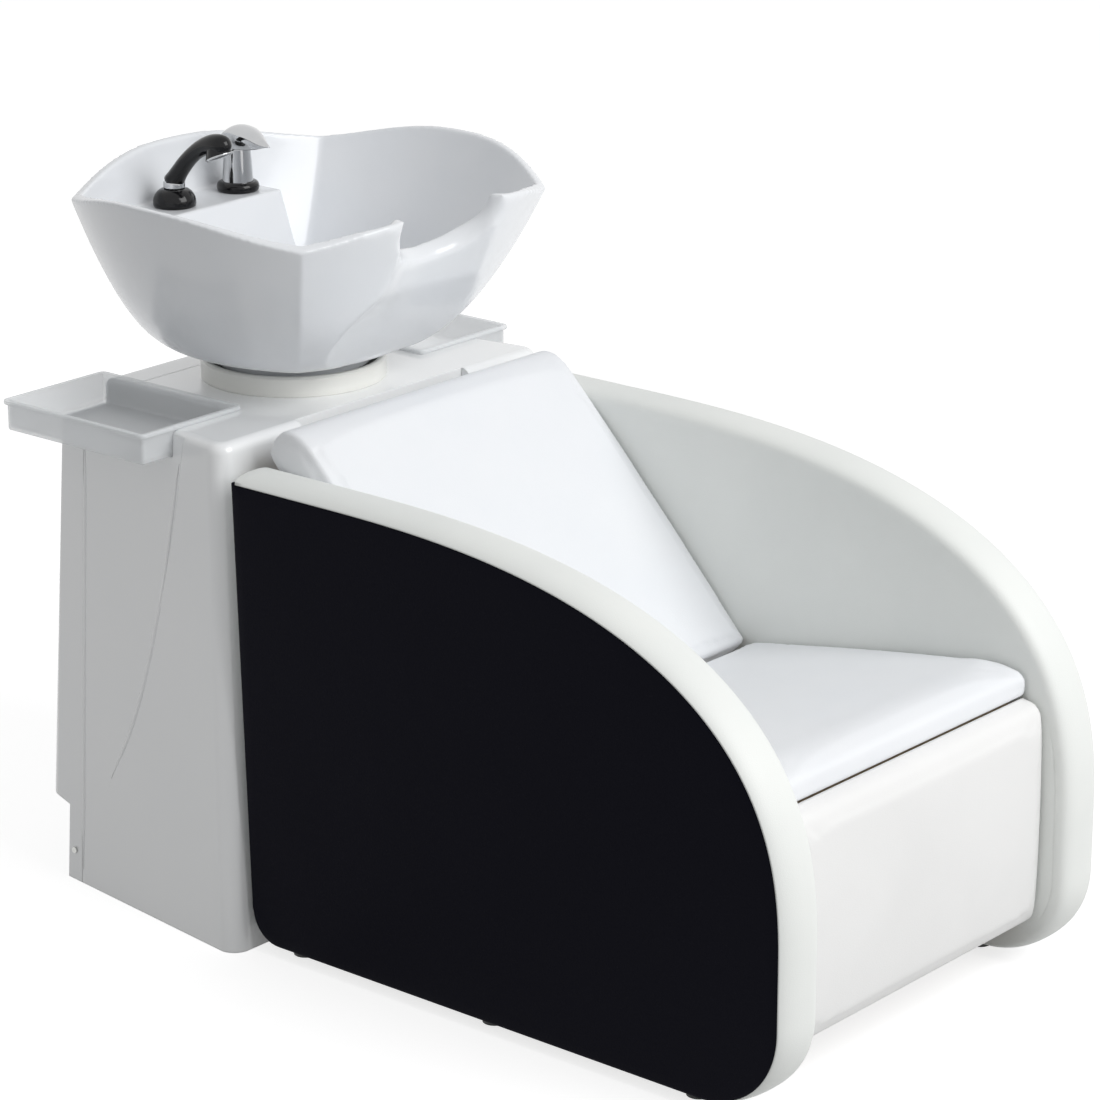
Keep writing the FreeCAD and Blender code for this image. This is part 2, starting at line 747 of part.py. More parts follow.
def arm_pad():
    """Upholstery of a side: a rounded slab round the board, recessed for the outer panel."""
    pad = arm_plate(ARM_INNER_X, ARM_OUTER_X, 0.0, GLIDE_HEIGHT, 0.0)
    pad = pad.makeFillet(ARM_INNER_ROUND, edges_where(pad, in_plane_x(ARM_INNER_X)))
    pad = pad.makeFillet(ARM_OUTER_ROUND, edges_where(pad, in_plane_x(ARM_OUTER_X)))
    recess = arm_plate(ARM_OUTER_X - PANEL_THICKNESS, ARM_OUTER_X + ARM_THICKNESS, PANEL_RIM,
                       GLIDE_HEIGHT - ARM_HEEL_RADIUS, -ARM_HEEL_RADIUS)
    head_start = ARM_BOARD_X + ARM_BOARD_THICKNESS
    head_end = head_start + BOLT_HEAD_HEIGHT
    holes = bolt_holes(BOLT_RADIUS + SLIP, ARM_INNER_X - ARM_THICKNESS, ARM_OUTER_X - PANEL_THICKNESS)
    pockets = bolt_holes(BOLT_HEAD_RADIUS + TOUCH, head_start, head_end + TOUCH)
    return cut_all(pad, [recess, arm_core()] + holes + pockets)


def arm_panel():
    """Black outer panel, set in the recess of the side and flush with its rear and its foot."""
    inner_face = ARM_OUTER_X - PANEL_THICKNESS + TOUCH
    panel = arm_plate(inner_face, ARM_OUTER_X, PANEL_RIM + TOUCH, GLIDE_HEIGHT, 0.0)
    return panel.makeFillet(PANEL_ROUND, edges_where(panel, in_plane_x(ARM_OUTER_X)))


def arm_glides():
    """Floor glides screwed up into both boards."""
    x = ARM_BOARD_X + ARM_BOARD_THICKNESS / 2
    first = ARM_FRONT_Y + ARM_TOE_RADIUS + GLIDE_RADIUS * 2
    last = arm_rear(0) - ARM_BOARD_INSET - GLIDE_RADIUS * 2
    glides = []
    for index in range(GLIDES_PER_SIDE):
        y = first + (last - first) * index / (GLIDES_PER_SIDE - 1)
        glides.append(rod(GLIDE_RADIUS, V(x, y, 0), V(x, y, GLIDE_HEIGHT)))
    return both_sides(Part.makeCompound(glides))


# Cabinet

def cabinet_rear(z):
    return CABINET_REAR_Y - CABINET_REAR_LEAN * z


def seam(z):
    return SEAM_Y + SEAM_LEAN * z


def flank(y, z):
    return CABINET_HALF_WIDTH - CABINET_TAPER * y - CABINET_DRAFT * z


def cabinet_block(inset, bottom, top, past_rear=0.0):
    """Tapered block inside the cabinet's outer faces by an inset, with rounded front and top."""
    wires = []
    for z in (bottom, top):
        front = cabinet_front(z) + inset
        rear = cabinet_rear(z) - inset + past_rear
        corners = [
            V(-flank(front, z) + inset, front, z),
            V(flank(front, z) - inset, front, z),
            V(flank(rear, z) - inset, rear, z),
            V(-flank(rear, z) + inset, rear, z),
        ]
        wires.append(Part.makePolygon(corners + corners[:1]))
    block = solid_between(wires, ruled=True)

    def upright(edge):
        return edge.BoundBox.ZLength > (top - bottom) / 2

    def on_top(edge):
        return edge.BoundBox.ZMin > top - TOUCH

    block = block.makeFillet(CABINET_CORNER_ROUND - inset, edges_where(block, upright))
    return block.makeFillet(CABINET_TOP_ROUND - inset, edges_where(block, on_top))


def behind_seam(offset):
    """Everything behind the seam plane, moved back by an offset."""
    low = -CABINET_HEIGHT
    high = CABINET_HEIGHT * 2
    outline = [(seam(low) + offset, low), (FAR, low), (FAR, high), (seam(high) + offset, high)]
    return slab(outline, -FAR, FAR)


def toe_recess(grow):
    """Space cut out under the rear cover for the toes of whoever stands behind the unit."""
    inner = CABINET_REAR_Y - TOE_DEPTH - grow
    top = TOE_HEIGHT + grow
    outline = [
        (inner, -FAR),
        (FAR, -FAR),
        (FAR, top + TOE_SLOPE),
        (inner + TOE_DEPTH, top),
        (inner, top - TOE_SLOPE),
    ]
    return slab(outline, -FAR, FAR)


def tray_notches():
    """Corner spaces that the trays drop into, open to the side and the rear."""
    start_x = TRAY_INNER_X + TRAY_LIP - TOUCH * 2
    start_y = TRAY_FRONT_Y + TRAY_LIP - TOUCH * 2
    notch = box(start_x, FAR, start_y, FAR, tray_floor() - TOUCH, FAR)
    return [notch, mirrored(notch)]


def flank_step():
    """Wedge that sets the rear of a flank back behind a curved crease, fading out downwards."""
    top_z = CABINET_HEIGHT
    top = V(0, CREASE_TOP_Y, top_z)
    foot = V(0, CREASE_FOOT_Y, CREASE_FOOT_HEIGHT)
    middle = (top + foot) / 2 - ALONG_Y * CREASE_BOW
    far_low = V(0, CABINET_REAR_Y * 2, CREASE_FOOT_HEIGHT)
    far_top = V(0, CABINET_REAR_Y * 2, top_z)
    outline = Part.Wire([
        arc(top, middle, foot),
        line(foot, far_low),
        line(far_low, far_top),
        line(far_top, top),
    ])
    column = Part.Face(outline).extrude(V(FAR, 0, 0))
    wedge = []
    for z, depth in ((CREASE_FOOT_HEIGHT, 0.0), (top_z, CREASE_DEPTH)):
        near = CREASE_TOP_Y * 2
        far = CABINET_REAR_Y * 2
        corners = [
            V(flank(near, z) - depth, near, z),
            V(flank(near, z) + FAR, near, z),
            V(flank(far, z) + FAR, far, z),
            V(flank(far, z) - depth, far, z),
        ]
        wedge.append(Part.makePolygon(corners + corners[:1]))
    return column.common(solid_between(wedge, ruled=True))


def floor_rail_slots():
    half = FLOOR_RAIL_WIDTH / 2 + TOUCH
    slot = box(RAIL_SPACING / 2 - half, RAIL_SPACING / 2 + half, CABINET_FRONT_Y - CABINET_WALL, 0,
               -FAR, FLOOR_RAIL_HEIGHT + TOUCH)
    return [slot, mirrored(slot)]


def seam_strips():
    """Strips of the shell that reach into the rear cover and take its screws."""
    outer = cabinet_block(CABINET_WALL, 0, CABINET_HEIGHT - CABINET_WALL, past_rear=CABINET_REAR_Y)
    inner = cabinet_block(CABINET_WALL * 2, -FAR / 10, CABINET_HEIGHT - CABINET_WALL * 2,
                          past_rear=CABINET_REAR_Y * 2)
    strips = outer.cut(inner).common(behind_seam(-TONGUE_ROOT)).cut(behind_seam(TONGUE_REACH))
    return strips.common(box(-FAR, FAR, -FAR, FAR, FLOOR_RAIL_HEIGHT, TONGUE_HEIGHT))


def cover_screw_axis():
    y = seam(COVER_SCREW_HEIGHT) + COVER_SCREW_SETBACK
    x = flank(y, COVER_SCREW_HEIGHT)
    return x, y


def cover_screw_rods(radius, start, end):
    x, y = cover_screw_axis()
    hole = rod(radius, V(x + start, y, COVER_SCREW_HEIGHT), V(x + end, y, COVER_SCREW_HEIGHT))
    return [hole, mirrored(hole)]


def back_recess(grow):
    """Step in the top front edge that takes the rolled top of the chair's back."""
    half = BACK_RECESS_HALF_WIDTH + grow
    rear = cabinet_front(CABINET_HEIGHT) + BACK_RECESS_DEPTH + grow
    return box(-half, half, -FAR, rear, CABINET_HEIGHT - BACK_RECESS_DROP - grow, FAR)


def collar_opening():
    return rod(COLLAR_RADIUS - COLLAR_WALL, V(0, 0, PLATE_TOP - CABINET_WALL), V(0, 0, FAR))


def cabinet_shell():
    """Moulded shell, open below and behind, with its top opening, recesses and seam strips."""
    shell = cabinet_block(0.0, 0.0, CABINET_HEIGHT)
    shell = shell.cut(behind_seam(-SEAM_GAP / 2)).cut(back_recess(0.0))
    inner = cabinet_block(CABINET_WALL, -CABINET_HEIGHT / 10, CABINET_HEIGHT - CABINET_WALL,
                          past_rear=CABINET_REAR_Y)
    shell = shell.cut(inner.cut(back_recess(CABINET_WALL))).fuse(seam_strips())
    step = flank_step()
    tools = [collar_opening(), step, mirrored(step)]
    tools += tray_notches() + floor_rail_slots()
    tools += cover_screw_rods(COVER_SCREW_RADIUS, -CABINET_WALL * 4, CABINET_WALL)
    return cut_all(shell, tools)


def rear_cover():
    """Removable rear cover with its toe recess."""
    cover = cabinet_block(0.0, 0.0, CABINET_HEIGHT).common(behind_seam(SEAM_GAP / 2))
    inner = cabinet_block(CABINET_WALL, -CABINET_HEIGHT / 10, CABINET_HEIGHT - CABINET_WALL)
    inner = inner.cut(toe_recess(CABINET_WALL))
    cover = cover.cut(toe_recess(0.0)).cut(inner)
    step = flank_step()
    tools = [collar_opening(), step, mirrored(step)] + tray_notches()
    tools += cover_screw_rods(COVER_SCREW_RADIUS + SLIP, -CABINET_WALL * 4, CABINET_WALL)
    return cut_all(cover, tools)


def cover_screws():
    """One pan-head screw low on each flank, through the cover into the shell's strip."""
    x, y = cover_screw_axis()
    z = COVER_SCREW_HEIGHT
    seat = x + COVER_SCREW_HEAD_RADIUS * (CABINET_TAPER + CABINET_DRAFT) + TOUCH
    shank = rod(COVER_SCREW_RADIUS, V(x - CABINET_WALL * 2, y, z), V(seat, y, z))
    head = rod(COVER_SCREW_HEAD_RADIUS, V(seat, y, z), V(seat + COVER_SCREW_HEAD_HEIGHT, y, z))
    return both_sides(shank.fuse(head).removeSplitter())


def basin_collar():
    """Ring on the cabinet's top, with a spigot in its opening."""
    inner = COLLAR_RADIUS - COLLAR_WALL
    top = COLLAR_TOP
    spigot = inner - SLIP
    bore = spigot - COLLAR_WALL / 2
    return turned([
        (bore, PLATE_TOP),
        (spigot, PLATE_TOP),
        (spigot, CABINET_HEIGHT),
        (COLLAR_RADIUS, CABINET_HEIGHT),
        (COLLAR_RADIUS, top - COLLAR_ROUND),
        (COLLAR_RADIUS - COLLAR_ROUND, top),
        (bore + COLLAR_ROUND, top),
        (bore, top - COLLAR_ROUND),
    ])


# Trays

def tray_rim():
    return CABINET_HEIGHT + TOUCH + TRAY_LIP_HEIGHT


def tray_floor():
    return tray_rim() - TRAY_DEPTH


def rounded_box(x0, x1, y0, y1, z0, z1, radius):
    block = box(x0, x1, y0, y1, z0, z1)
    uprights = edges_where(block, lambda edge: edge.BoundBox.ZLength > (z1 - z0) / 2)
    return block.makeFillet(radius, uprights)


def tray():
    """Drop-in tray: a thin open box with a lip that hangs on the cabinet's top."""
    x0 = TRAY_INNER_X
    x1 = x0 + TRAY_WIDTH
    y0 = TRAY_FRONT_Y
    y1 = y0 + TRAY_LENGTH
    rim = tray_rim()
    low = tray_floor()
    inner = TRAY_LIP + TRAY_WALL
    lip = rounded_box(x0, x1, y0, y1, rim - TRAY_LIP_HEIGHT, rim, TRAY_CORNER_ROUND)
    body = rounded_box(x0 + TRAY_LIP, x1 - TRAY_LIP, y0 + TRAY_LIP, y1 - TRAY_LIP, low, rim,
                       TRAY_CORNER_ROUND)
    hollow = rounded_box(x0 + inner, x1 - inner, y0 + inner, y1 - inner, low + TRAY_WALL,
                         rim + TRAY_DEPTH, TRAY_CORNER_ROUND - TRAY_WALL)
    return lip.fuse(body).removeSplitter().cut(hollow)


# Pedestal

def post_centres():
    return [(RAIL_SPACING / 2 * sx, POST_SPACING / 2 * sy) for sx in (-1, 1) for sy in (-1, 1)]


def floor_rail():
    """Flat steel rail on the floor, from the chair's tie rail to the rear, with two anchor holes."""
    x = RAIL_SPACING / 2
    half = FLOOR_RAIL_WIDTH / 2
    rail = box(x - half, x + half, TIE_RAIL_Y, FLOOR_RAIL_REAR_Y, 0, FLOOR_RAIL_HEIGHT)
    for side in (-1, 1):
        y = ANCHOR_SPACING / 2 * side
        rail = rail.cut(rod(ANCHOR_RADIUS, V(x, y, 0), V(x, y, FLOOR_RAIL_HEIGHT)))
    return rail


def pedestal_posts():
    """Four square tubes between the floor rails and the top plate."""
    half = POST_SIZE / 2
    hollow = half - POST_WALL
    posts = []
    for x, y in post_centres():
        outer = box(x - half, x + half, y - half, y + half, FLOOR_RAIL_HEIGHT, PLATE_BOTTOM)
        inner = box(x - hollow, x + hollow, y - hollow, y + hollow, 0, PLATE_TOP)
        posts.append(outer.cut(inner))
    return Part.makeCompound(posts)


def pedestal_plate():
    """Steel plate under the cabinet's top, open in the middle for the basin's carrier."""
    half_x = RAIL_SPACING / 2 + POST_SIZE / 2
    half_y = PLATE_LENGTH / 2
    plate = box(-half_x, half_x, -half_y, half_y, PLATE_BOTTOM, PLATE_TOP)
    half_width = HANGER_X - TOUCH
    half_length = PLATE_OPENING / 2
    return plate.cut(box(-half_width, half_width, -half_length, half_length, 0, FAR))


def tilt_hangers():
    """Upright plates under the top plate that hold the tilt pins."""
    hanger = box(HANGER_X, HANGER_X + HANGER_THICKNESS, -HANGER_WIDTH / 2, HANGER_WIDTH / 2,
                 PIVOT_Z - HANGER_BELOW_PIN, PLATE_BOTTOM)
    hole = rod(TILT_PIN_RADIUS, V(0, 0, PIVOT_Z), V(FAR, 0, PIVOT_Z))
    return both_sides(hanger.cut(hole))


def tilt_pins():
    outside = HANGER_X + HANGER_THICKNESS
    inside = LUG_X - CLIP_THICKNESS * 2
    shank = rod(TILT_PIN_RADIUS, V(inside, 0, PIVOT_Z), V(outside, 0, PIVOT_Z))
    head = rod(TILT_PIN_HEAD_RADIUS, V(outside, 0, PIVOT_Z), V(outside + TILT_PIN_HEAD_HEIGHT, 0, PIVOT_Z))
    return both_sides(shank.fuse(head).removeSplitter())


def pin_clips():
    outer = LUG_X - TOUCH
    return both_sides(tube(CLIP_RADIUS, TILT_PIN_RADIUS, V(outer - CLIP_THICKNESS, 0, PIVOT_Z),
                           V(outer, 0, PIVOT_Z)))


def friction_washers():
    outer = HANGER_X - TOUCH
    return both_sides(tube(WASHER_RADIUS, TILT_PIN_RADIUS, V(outer - WASHER_THICKNESS, 0, PIVOT_Z),
                           V(outer, 0, PIVOT_Z)))


# Basin

def four_arcs(z, half_x, front, rear, side_bow, front_bow, rear_bow):
    """A square plan with bowed sides and a ridge at each corner."""
    middle = (front + rear) / 2
    front_left = V(half_x, front, z)
    front_right = V(-half_x, front, z)
    rear_left = V(half_x, rear, z)
    rear_right = V(-half_x, rear, z)
    return Part.Wire([
        arc(front_right, V(0, front - front_bow, z), front_left),
        arc(front_left, V(half_x + side_bow, middle, z), rear_left),
        arc(rear_left, V(0, rear + rear_bow, z), rear_right),
        arc(rear_right, V(-half_x - side_bow, middle, z), front_right),
    ])


def round_plan(z, radius):
    corner = radius * math.sqrt(0.5)
    bow = radius - corner
    return four_arcs(z, corner, -corner, corner, bow, bow, bow)


def bowl_sizes(share):
    """Half width, front and rear corner and the three bows of the bowl at a share of the ridge height."""
    swing = share ** RIDGE_POWER

    def between(low, high):
        return low + (high - low) * swing

    return (
        between(BELLY_HALF, RIM_CORNER_X),
        between(-BELLY_HALF, RIM_CORNER_FRONT_Y),
        between(BELLY_HALF, RIM_CORNER_REAR_Y),
        between(BELLY_BOW, RIM_SIDE_BOW),
        between(BELLY_BOW, RIM_FRONT_BOW),
        between(BELLY_BOW, RIM_REAR_BOW),
    )


def bowl_plan(share, inset, lift):
    """Plan of the bowl at a share of the ridge height, drawn in by an inset."""
    half_x, front, rear, side_bow, front_bow, rear_bow = bowl_sizes(share)
    z = BELLY_Z + RIDGE_HEIGHT * share + lift * max(0.0, 1 - share)
    return four_arcs(z, half_x - inset, front + inset, rear - inset, side_bow, front_bow, rear_bow)


BOWL_SHARES = [(step / BOWL_STEPS) ** (1 / RIDGE_POWER) for step in range(BOWL_STEPS + 1)] + [BOWL_OVERRUN]


def bowl_outside():
    foot = solid_between([round_plan(FOOT_Z, FOOT_RADIUS), round_plan(COLLAR_TOP + FOOT_RISE, FOOT_RADIUS)],
                         ruled=True)
    under = solid_between([round_plan(COLLAR_TOP + FOOT_RISE, FOOT_RADIUS), bowl_plan(0.0, 0.0, 0.0)],
                          ruled=True)
    bowl = solid_between([bowl_plan(share, 0.0, 0.0) for share in BOWL_SHARES])
    return foot.fuse(under).fuse(bowl)


def bowl_inside():
    floor = FOOT_Z + FOOT_THICKNESS
    dish = solid_between([round_plan(floor, WASTE_FLANGE_RADIUS), bowl_plan(0.0, BASIN_WALL, BASIN_WALL)],
                         ruled=True)
    bowl = solid_between([bowl_plan(share, BASIN_WALL, BASIN_WALL) for share in BOWL_SHARES])
    return dish.fuse(bowl)


def rim_height(x, y):
    """Top of the rim: lowest at the four corners, a little higher at the rear than in front."""
    middle = (RIM_CORNER_FRONT_Y + RIM_CORNER_REAR_Y) / 2
    u = x / RIM_CORNER_X
    v = (y - middle) / (RIM_CORNER_REAR_Y - middle)
    return CORNER_Z + RIM_RISE * (1 - abs(u * v) ** RIM_POWER) + RIM_TILT * v


def above_rim():
    """Everything over the rim, cut off the bowl from a sheet that reaches past its outside."""
    reach_x = (RIM_CORNER_X + RIM_SIDE_BOW) * RIM_OVERREACH
    front = (RIM_CORNER_FRONT_Y - RIM_FRONT_BOW) * RIM_OVERREACH
    rear = (RIM_CORNER_REAR_Y + RIM_REAR_BOW) * RIM_OVERREACH
    steps = 12
    rows = []
    for i in range(steps + 1):
        x = -reach_x + 2 * reach_x * i / steps
        row = []
        for j in range(steps + 1):
            y = front + (rear - front) * j / steps
            row.append(V(x, y, rim_height(x, y)))
        rows.append(row)
    surface = Part.BSplineSurface()
    surface.interpolate(rows)
    return surface.toShape().extrude(UP * RIDGE_HEIGHT)


def trough_circle(share, width, depth, wall):
    """Round section of the space in front of the face, a width and a depth into it."""
    half_x, front, rear, side_bow, front_bow, rear_bow = bowl_sizes(share)
    chord_y = front - front_bow * (1 - (width / 2 / half_x) ** 2)
    radius = (width ** 2 / 4 + depth ** 2) / (2 * depth)
    centre = V(0, chord_y + depth - radius, BELLY_Z + RIDGE_HEIGHT * share)
    return Part.Wire(Part.Circle(centre, UP, radius + wall).toShape())


def front_trough(foot_wall, neck_wall):
    """Space that hollows the front face below the notch, grown by a wall at its foot and its top."""
    waist_wall = (foot_wall + neck_wall) / 2
    return solid_between([
        trough_circle(0.0, TROUGH_FOOT_WIDTH, TROUGH_FOOT_DEPTH, foot_wall),
        trough_circle(TROUGH_WAIST_SHARE, TROUGH_WAIST_WIDTH, TROUGH_WAIST_DEPTH, waist_wall),
        trough_circle(1.0, NOTCH_WIDTH, TROUGH_DEPTH, neck_wall),
        trough_circle(BOWL_SHARES[-1], NOTCH_WIDTH, TROUGH_DEPTH, neck_wall),
    ], ruled=True)


def notch_outline(y):
    """Outline of the neck notch at a place along the unit, lower towards the front."""
    rim = CORNER_Z + RIM_RISE
    high = rim + RIM_RISE
    half = NOTCH_WIDTH / 2
    low = rim - NOTCH_DEPTH - NOTCH_FALL * (RIM_CORNER_FRONT_Y - y)
    return Part.Wire([
        line(V(-half, y, high), V(-half, y, rim)),
        arc(V(-half, y, rim), V(0, y, low), V(half, y, rim)),
        line(V(half, y, rim), V(half, y, high)),
        line(V(half, y, high), V(-half, y, high)),
    ])


def neck_notch():
    """Round notch for the neck in the middle of the front."""
    front = (RIM_CORNER_FRONT_Y - RIM_FRONT_BOW) * RIM_OVERREACH
    return solid_between([notch_outline(front), notch_outline(NOTCH_INNER_Y)], ruled=True)


def deck_block(inset):
    """Tap deck with its sloping front, drawn in all round by an inset."""
    top = DECK_Z - inset
    low = FOOT_Z
    front_top = DECK_FRONT_Y + inset
    front_low = front_top - (top - low) * DECK_FRONT_SLOPE
    outline = [(front_low, low), (front_top, top), (FAR, top), (FAR, low)]
    half = DECK_HALF_WIDTH - inset
    return slab(outline, -half, half)


def tap_axes():
    """Mixer on the sitter's left, hand shower on the right."""
    return V(TAP_SPACING / 2, TAP_Y, 0), V(-TAP_SPACING / 2, TAP_Y, 0)


def basin():
    """Ceramic bowl: ridged outside, tap deck with a service space behind, notch and waste hole."""
    inside = bowl_inside().cut(front_trough(BASIN_WALL, NECK_SADDLE))
    service = deck_block(BASIN_WALL).common(inside)
    window_low = BELLY_Z + BASIN_WALL * 2
    window = box(-SERVICE_WINDOW_HALF_WIDTH, SERVICE_WINDOW_HALF_WIDTH, DECK_FRONT_Y + BASIN_WALL * 2, FAR,
                 window_low, window_low + SERVICE_WINDOW_HEIGHT)
    tools = [above_rim(), inside.cut(deck_block(0.0)), service, window, neck_notch()]
    tools.append(front_trough(0.0, 0.0))
    tools.append(rod(WASTE_RADIUS + SLIP, ORIGIN, V(0, 0, FAR)))
    tools.append(rod(WASTE_FLANGE_RADIUS + TOUCH, V(0, 0, FLANGE_SEAT), V(0, 0, DECK_Z)))
    for axis in tap_axes():
        tools.append(rod(TAP_TAIL_RADIUS + SLIP, axis + UP * (DECK_Z - BASIN_WALL * 2), axis + UP * FAR))
    return cut_all(bowl_outside(), tools)


def basin_gasket():
    return tube(CARRIER_RADIUS, WASTE_RADIUS + SLIP, V(0, 0, CARRIER_TOP), V(0, 0, FOOT_Z))


def lug_outline():
    half = LUG_WIDTH / 2
    below = PIVOT_Z - LUG_WIDTH / 2
    return box(LUG_X, LUG_X + LUG_THICKNESS, -half, half, below, CARRIER_BOTTOM)


def basin_carrier():
    """Steel plate under the basin's foot, with two lugs on the tilt pins."""
    plate = rod(CARRIER_RADIUS, V(0, 0, CARRIER_BOTTOM), V(0, 0, CARRIER_TOP))
    lug = lug_outline().cut(rod(BUSH_RADIUS, V(0, 0, PIVOT_Z), V(FAR, 0, PIVOT_Z)))
    carrier = plate.fuse(lug).fuse(mirrored(lug)).removeSplitter()
    return carrier.cut(rod(WASTE_RADIUS + SLIP, ORIGIN, V(0, 0, FAR)))


def tilt_bushes():
    return both_sides(tube(BUSH_RADIUS, TILT_PIN_RADIUS + RUNNING_FIT, V(LUG_X, 0, PIVOT_Z),
                           V(LUG_X + LUG_THICKNESS, 0, PIVOT_Z)))


# Waste

def waste_flange():
    """Chrome flange in the bowl's floor with its threaded sleeve, and a seat for the strainer."""
    bore = WASTE_RADIUS - WASTE_WALL
    top = FLANGE_SEAT + WASTE_FLANGE_THICKNESS
    seat = top - STRAINER_THICKNESS - TOUCH
    return turned([
        (bore, WASTE_END),
        (WASTE_RADIUS, WASTE_END),
        (WASTE_RADIUS, FLANGE_SEAT),
        (WASTE_FLANGE_RADIUS, FLANGE_SEAT),
        (WASTE_FLANGE_RADIUS - WASTE_FLANGE_THICKNESS, top),
        (STRAINER_RADIUS + TOUCH, top),
        (STRAINER_RADIUS + TOUCH, seat),
        (bore, seat),
    ])


def hair_strainer():
    """Perforated disc with a finger knob, lying loose in the flange."""
    top = FLANGE_SEAT + WASTE_FLANGE_THICKNESS
    low = top - STRAINER_THICKNESS
    knob = top + STRAINER_KNOB_HEIGHT
    disc = turned([
        (0, low),
        (STRAINER_RADIUS, low),
        (STRAINER_RADIUS, top),
        (STRAINER_KNOB_RADIUS, top),
        (STRAINER_KNOB_RADIUS, knob),
        (0, knob + STRAINER_THICKNESS),
    ])
    for index in range(STRAINER_HOLES):
        angle = 2 * math.pi * index / STRAINER_HOLES
        x = STRAINER_HOLE_RING * math.cos(angle)
        y = STRAINER_HOLE_RING * math.sin(angle)
        disc = disc.cut(rod(STRAINER_HOLE_RADIUS, V(x, y, low), V(x, y, top)))
    return disc


def waste_nut():
    """Back nut that clamps the carrier and its gasket to the basin's foot."""
    base = V(0, 0, CARRIER_BOTTOM - WASTE_NUT_HEIGHT)
    return hexagon_nut(WASTE_NUT_RADIUS, WASTE_RADIUS, WASTE_NUT_HEIGHT, base)


def bottle_trap():
    """Bottle trap below the waste, with a level outlet to the rear."""
    bore = WASTE_RADIUS - WASTE_WALL
    shoulder = WASTE_END - TRAP_NUT_HEIGHT
    low = shoulder - TRAP_HEIGHT
    outlet_z = shoulder - OUTLET_DROP
    outlet_end = TRAP_RADIUS + OUTLET_LENGTH
    body = turned([
        (0, low),
        (TRAP_RADIUS, low),
        (TRAP_RADIUS, shoulder),
        (WASTE_RADIUS, shoulder),
        (WASTE_RADIUS, WASTE_END),
        (0, WASTE_END),
    ])
    body = body.fuse(rod(OUTLET_RADIUS, V(0, 0, outlet_z), V(0, outlet_end, outlet_z)))
    hollow = turned([
        (0, low + TRAP_WALL),
        (TRAP_RADIUS - TRAP_WALL, low + TRAP_WALL),
        (TRAP_RADIUS - TRAP_WALL, shoulder - TRAP_WALL),
        (bore, shoulder - TRAP_WALL),
        (bore, WASTE_END),
        (0, WASTE_END),
    ])
    hollow = hollow.fuse(rod(OUTLET_RADIUS - TRAP_WALL, V(0, 0, outlet_z), V(0, outlet_end, outlet_z)))
    return body.removeSplitter().cut(hollow)


def trap_nut():
    """Union nut over the end of the waste sleeve and the neck of the trap."""
    low = WASTE_END - TRAP_NUT_HEIGHT / 2
    return tube(WASTE_RADIUS + TRAP_NUT_WALL, WASTE_RADIUS, V(0, 0, low), V(0, 0, low + TRAP_NUT_HEIGHT))


# Mixer

def deck_nut(axis):
    """Nut under the tap deck."""
    base = axis + UP * (DECK_Z - BASIN_WALL - TAP_NUT_HEIGHT)
    return hexagon_nut(TAP_NUT_RADIUS, TAP_TAIL_RADIUS, TAP_NUT_HEIGHT, base)


def mixer_ring(axis):
    """Black ring with a rounded edge between the deck and the mixer's body."""
    edge = MIXER_RING_ROUND
    return turned([
        (MIXER_SPIGOT_RADIUS, DECK_Z),
        (MIXER_RING_RADIUS - edge, DECK_Z),
        (MIXER_RING_RADIUS, DECK_Z + edge),
        (MIXER_RING_RADIUS, DECK_Z + MIXER_RING_HEIGHT - edge * 2),
        (MIXER_RING_RADIUS - edge, DECK_Z + MIXER_RING_HEIGHT),
        (MIXER_SPIGOT_RADIUS, DECK_Z + MIXER_RING_HEIGHT),
    ], axis.x, axis.y)


def mixer_body(axis):
    """Chrome body: threaded tail with two inlets, tapered barrel, and a ball that the lever rides on."""
    ring_top = DECK_Z + MIXER_RING_HEIGHT
    tail_end = DECK_Z - TAP_TAIL_LENGTH
    spigot = MIXER_SPIGOT_RADIUS - SLIP
    ball = axis + UP * BALL_Z
    body = Part.makeCone(MIXER_FOOT_RADIUS, MIXER_RADIUS, BALL_Z - ring_top, axis + UP * ring_top, UP)
    body = body.fuse(rod(spigot, axis + UP * DECK_Z, axis + UP * ring_top))
    body = body.fuse(rod(TAP_TAIL_RADIUS, axis + UP * tail_end, axis + UP * DECK_Z))
    body = body.fuse(Part.makeSphere(MIXER_RADIUS, ball)).removeSplitter()
    tools = [
        rod(MIXER_RADIUS * 2, ball + UP * MIXER_MOUTH, ball + UP * MIXER_RADIUS * 2),
        rod(MIXER_BORE, axis + UP * (BALL_Z - ROTOR_HEIGHT), axis + UP * FAR),
    ]
    for side in (-1, 1):
        inlet = axis + V(side * TAP_TAIL_RADIUS / 2, 0, tail_end)
        tools.append(rod(INLET_RADIUS, inlet, inlet + UP * INLET_DEPTH))
    return cut_all(body, tools)


def cartridge_rotor(axis):
    """Turning part of the cartridge, with two cheeks that hold the lever's pin."""
    ball = axis + UP * BALL_Z
    radius = MIXER_BORE - SLIP
    low = ball - UP * (ROTOR_HEIGHT - RUNNING_FIT)
    rotor = rod(radius, low, ball + UP * ROTOR_CHEEK_RISE)
    half = STEM_WIDTH / 2 + SLIP
    slot = box(ball.x - half, ball.x + half, ball.y - FAR, ball.y + FAR, ball.z - ROTOR_SLOT_DROP,
               ball.z + FAR)
    pin_hole = rod(LEVER_PIN_RADIUS, ball - ALONG_X * FAR, ball + ALONG_X * FAR)
    return cut_all(rotor, [slot, pin_hole])


def lever_pin(axis):
    ball = axis + UP * BALL_Z
    reach = MIXER_BORE - SLIP * 4
    return rod(LEVER_PIN_RADIUS, ball - ALONG_X * reach, ball + ALONG_X * reach)


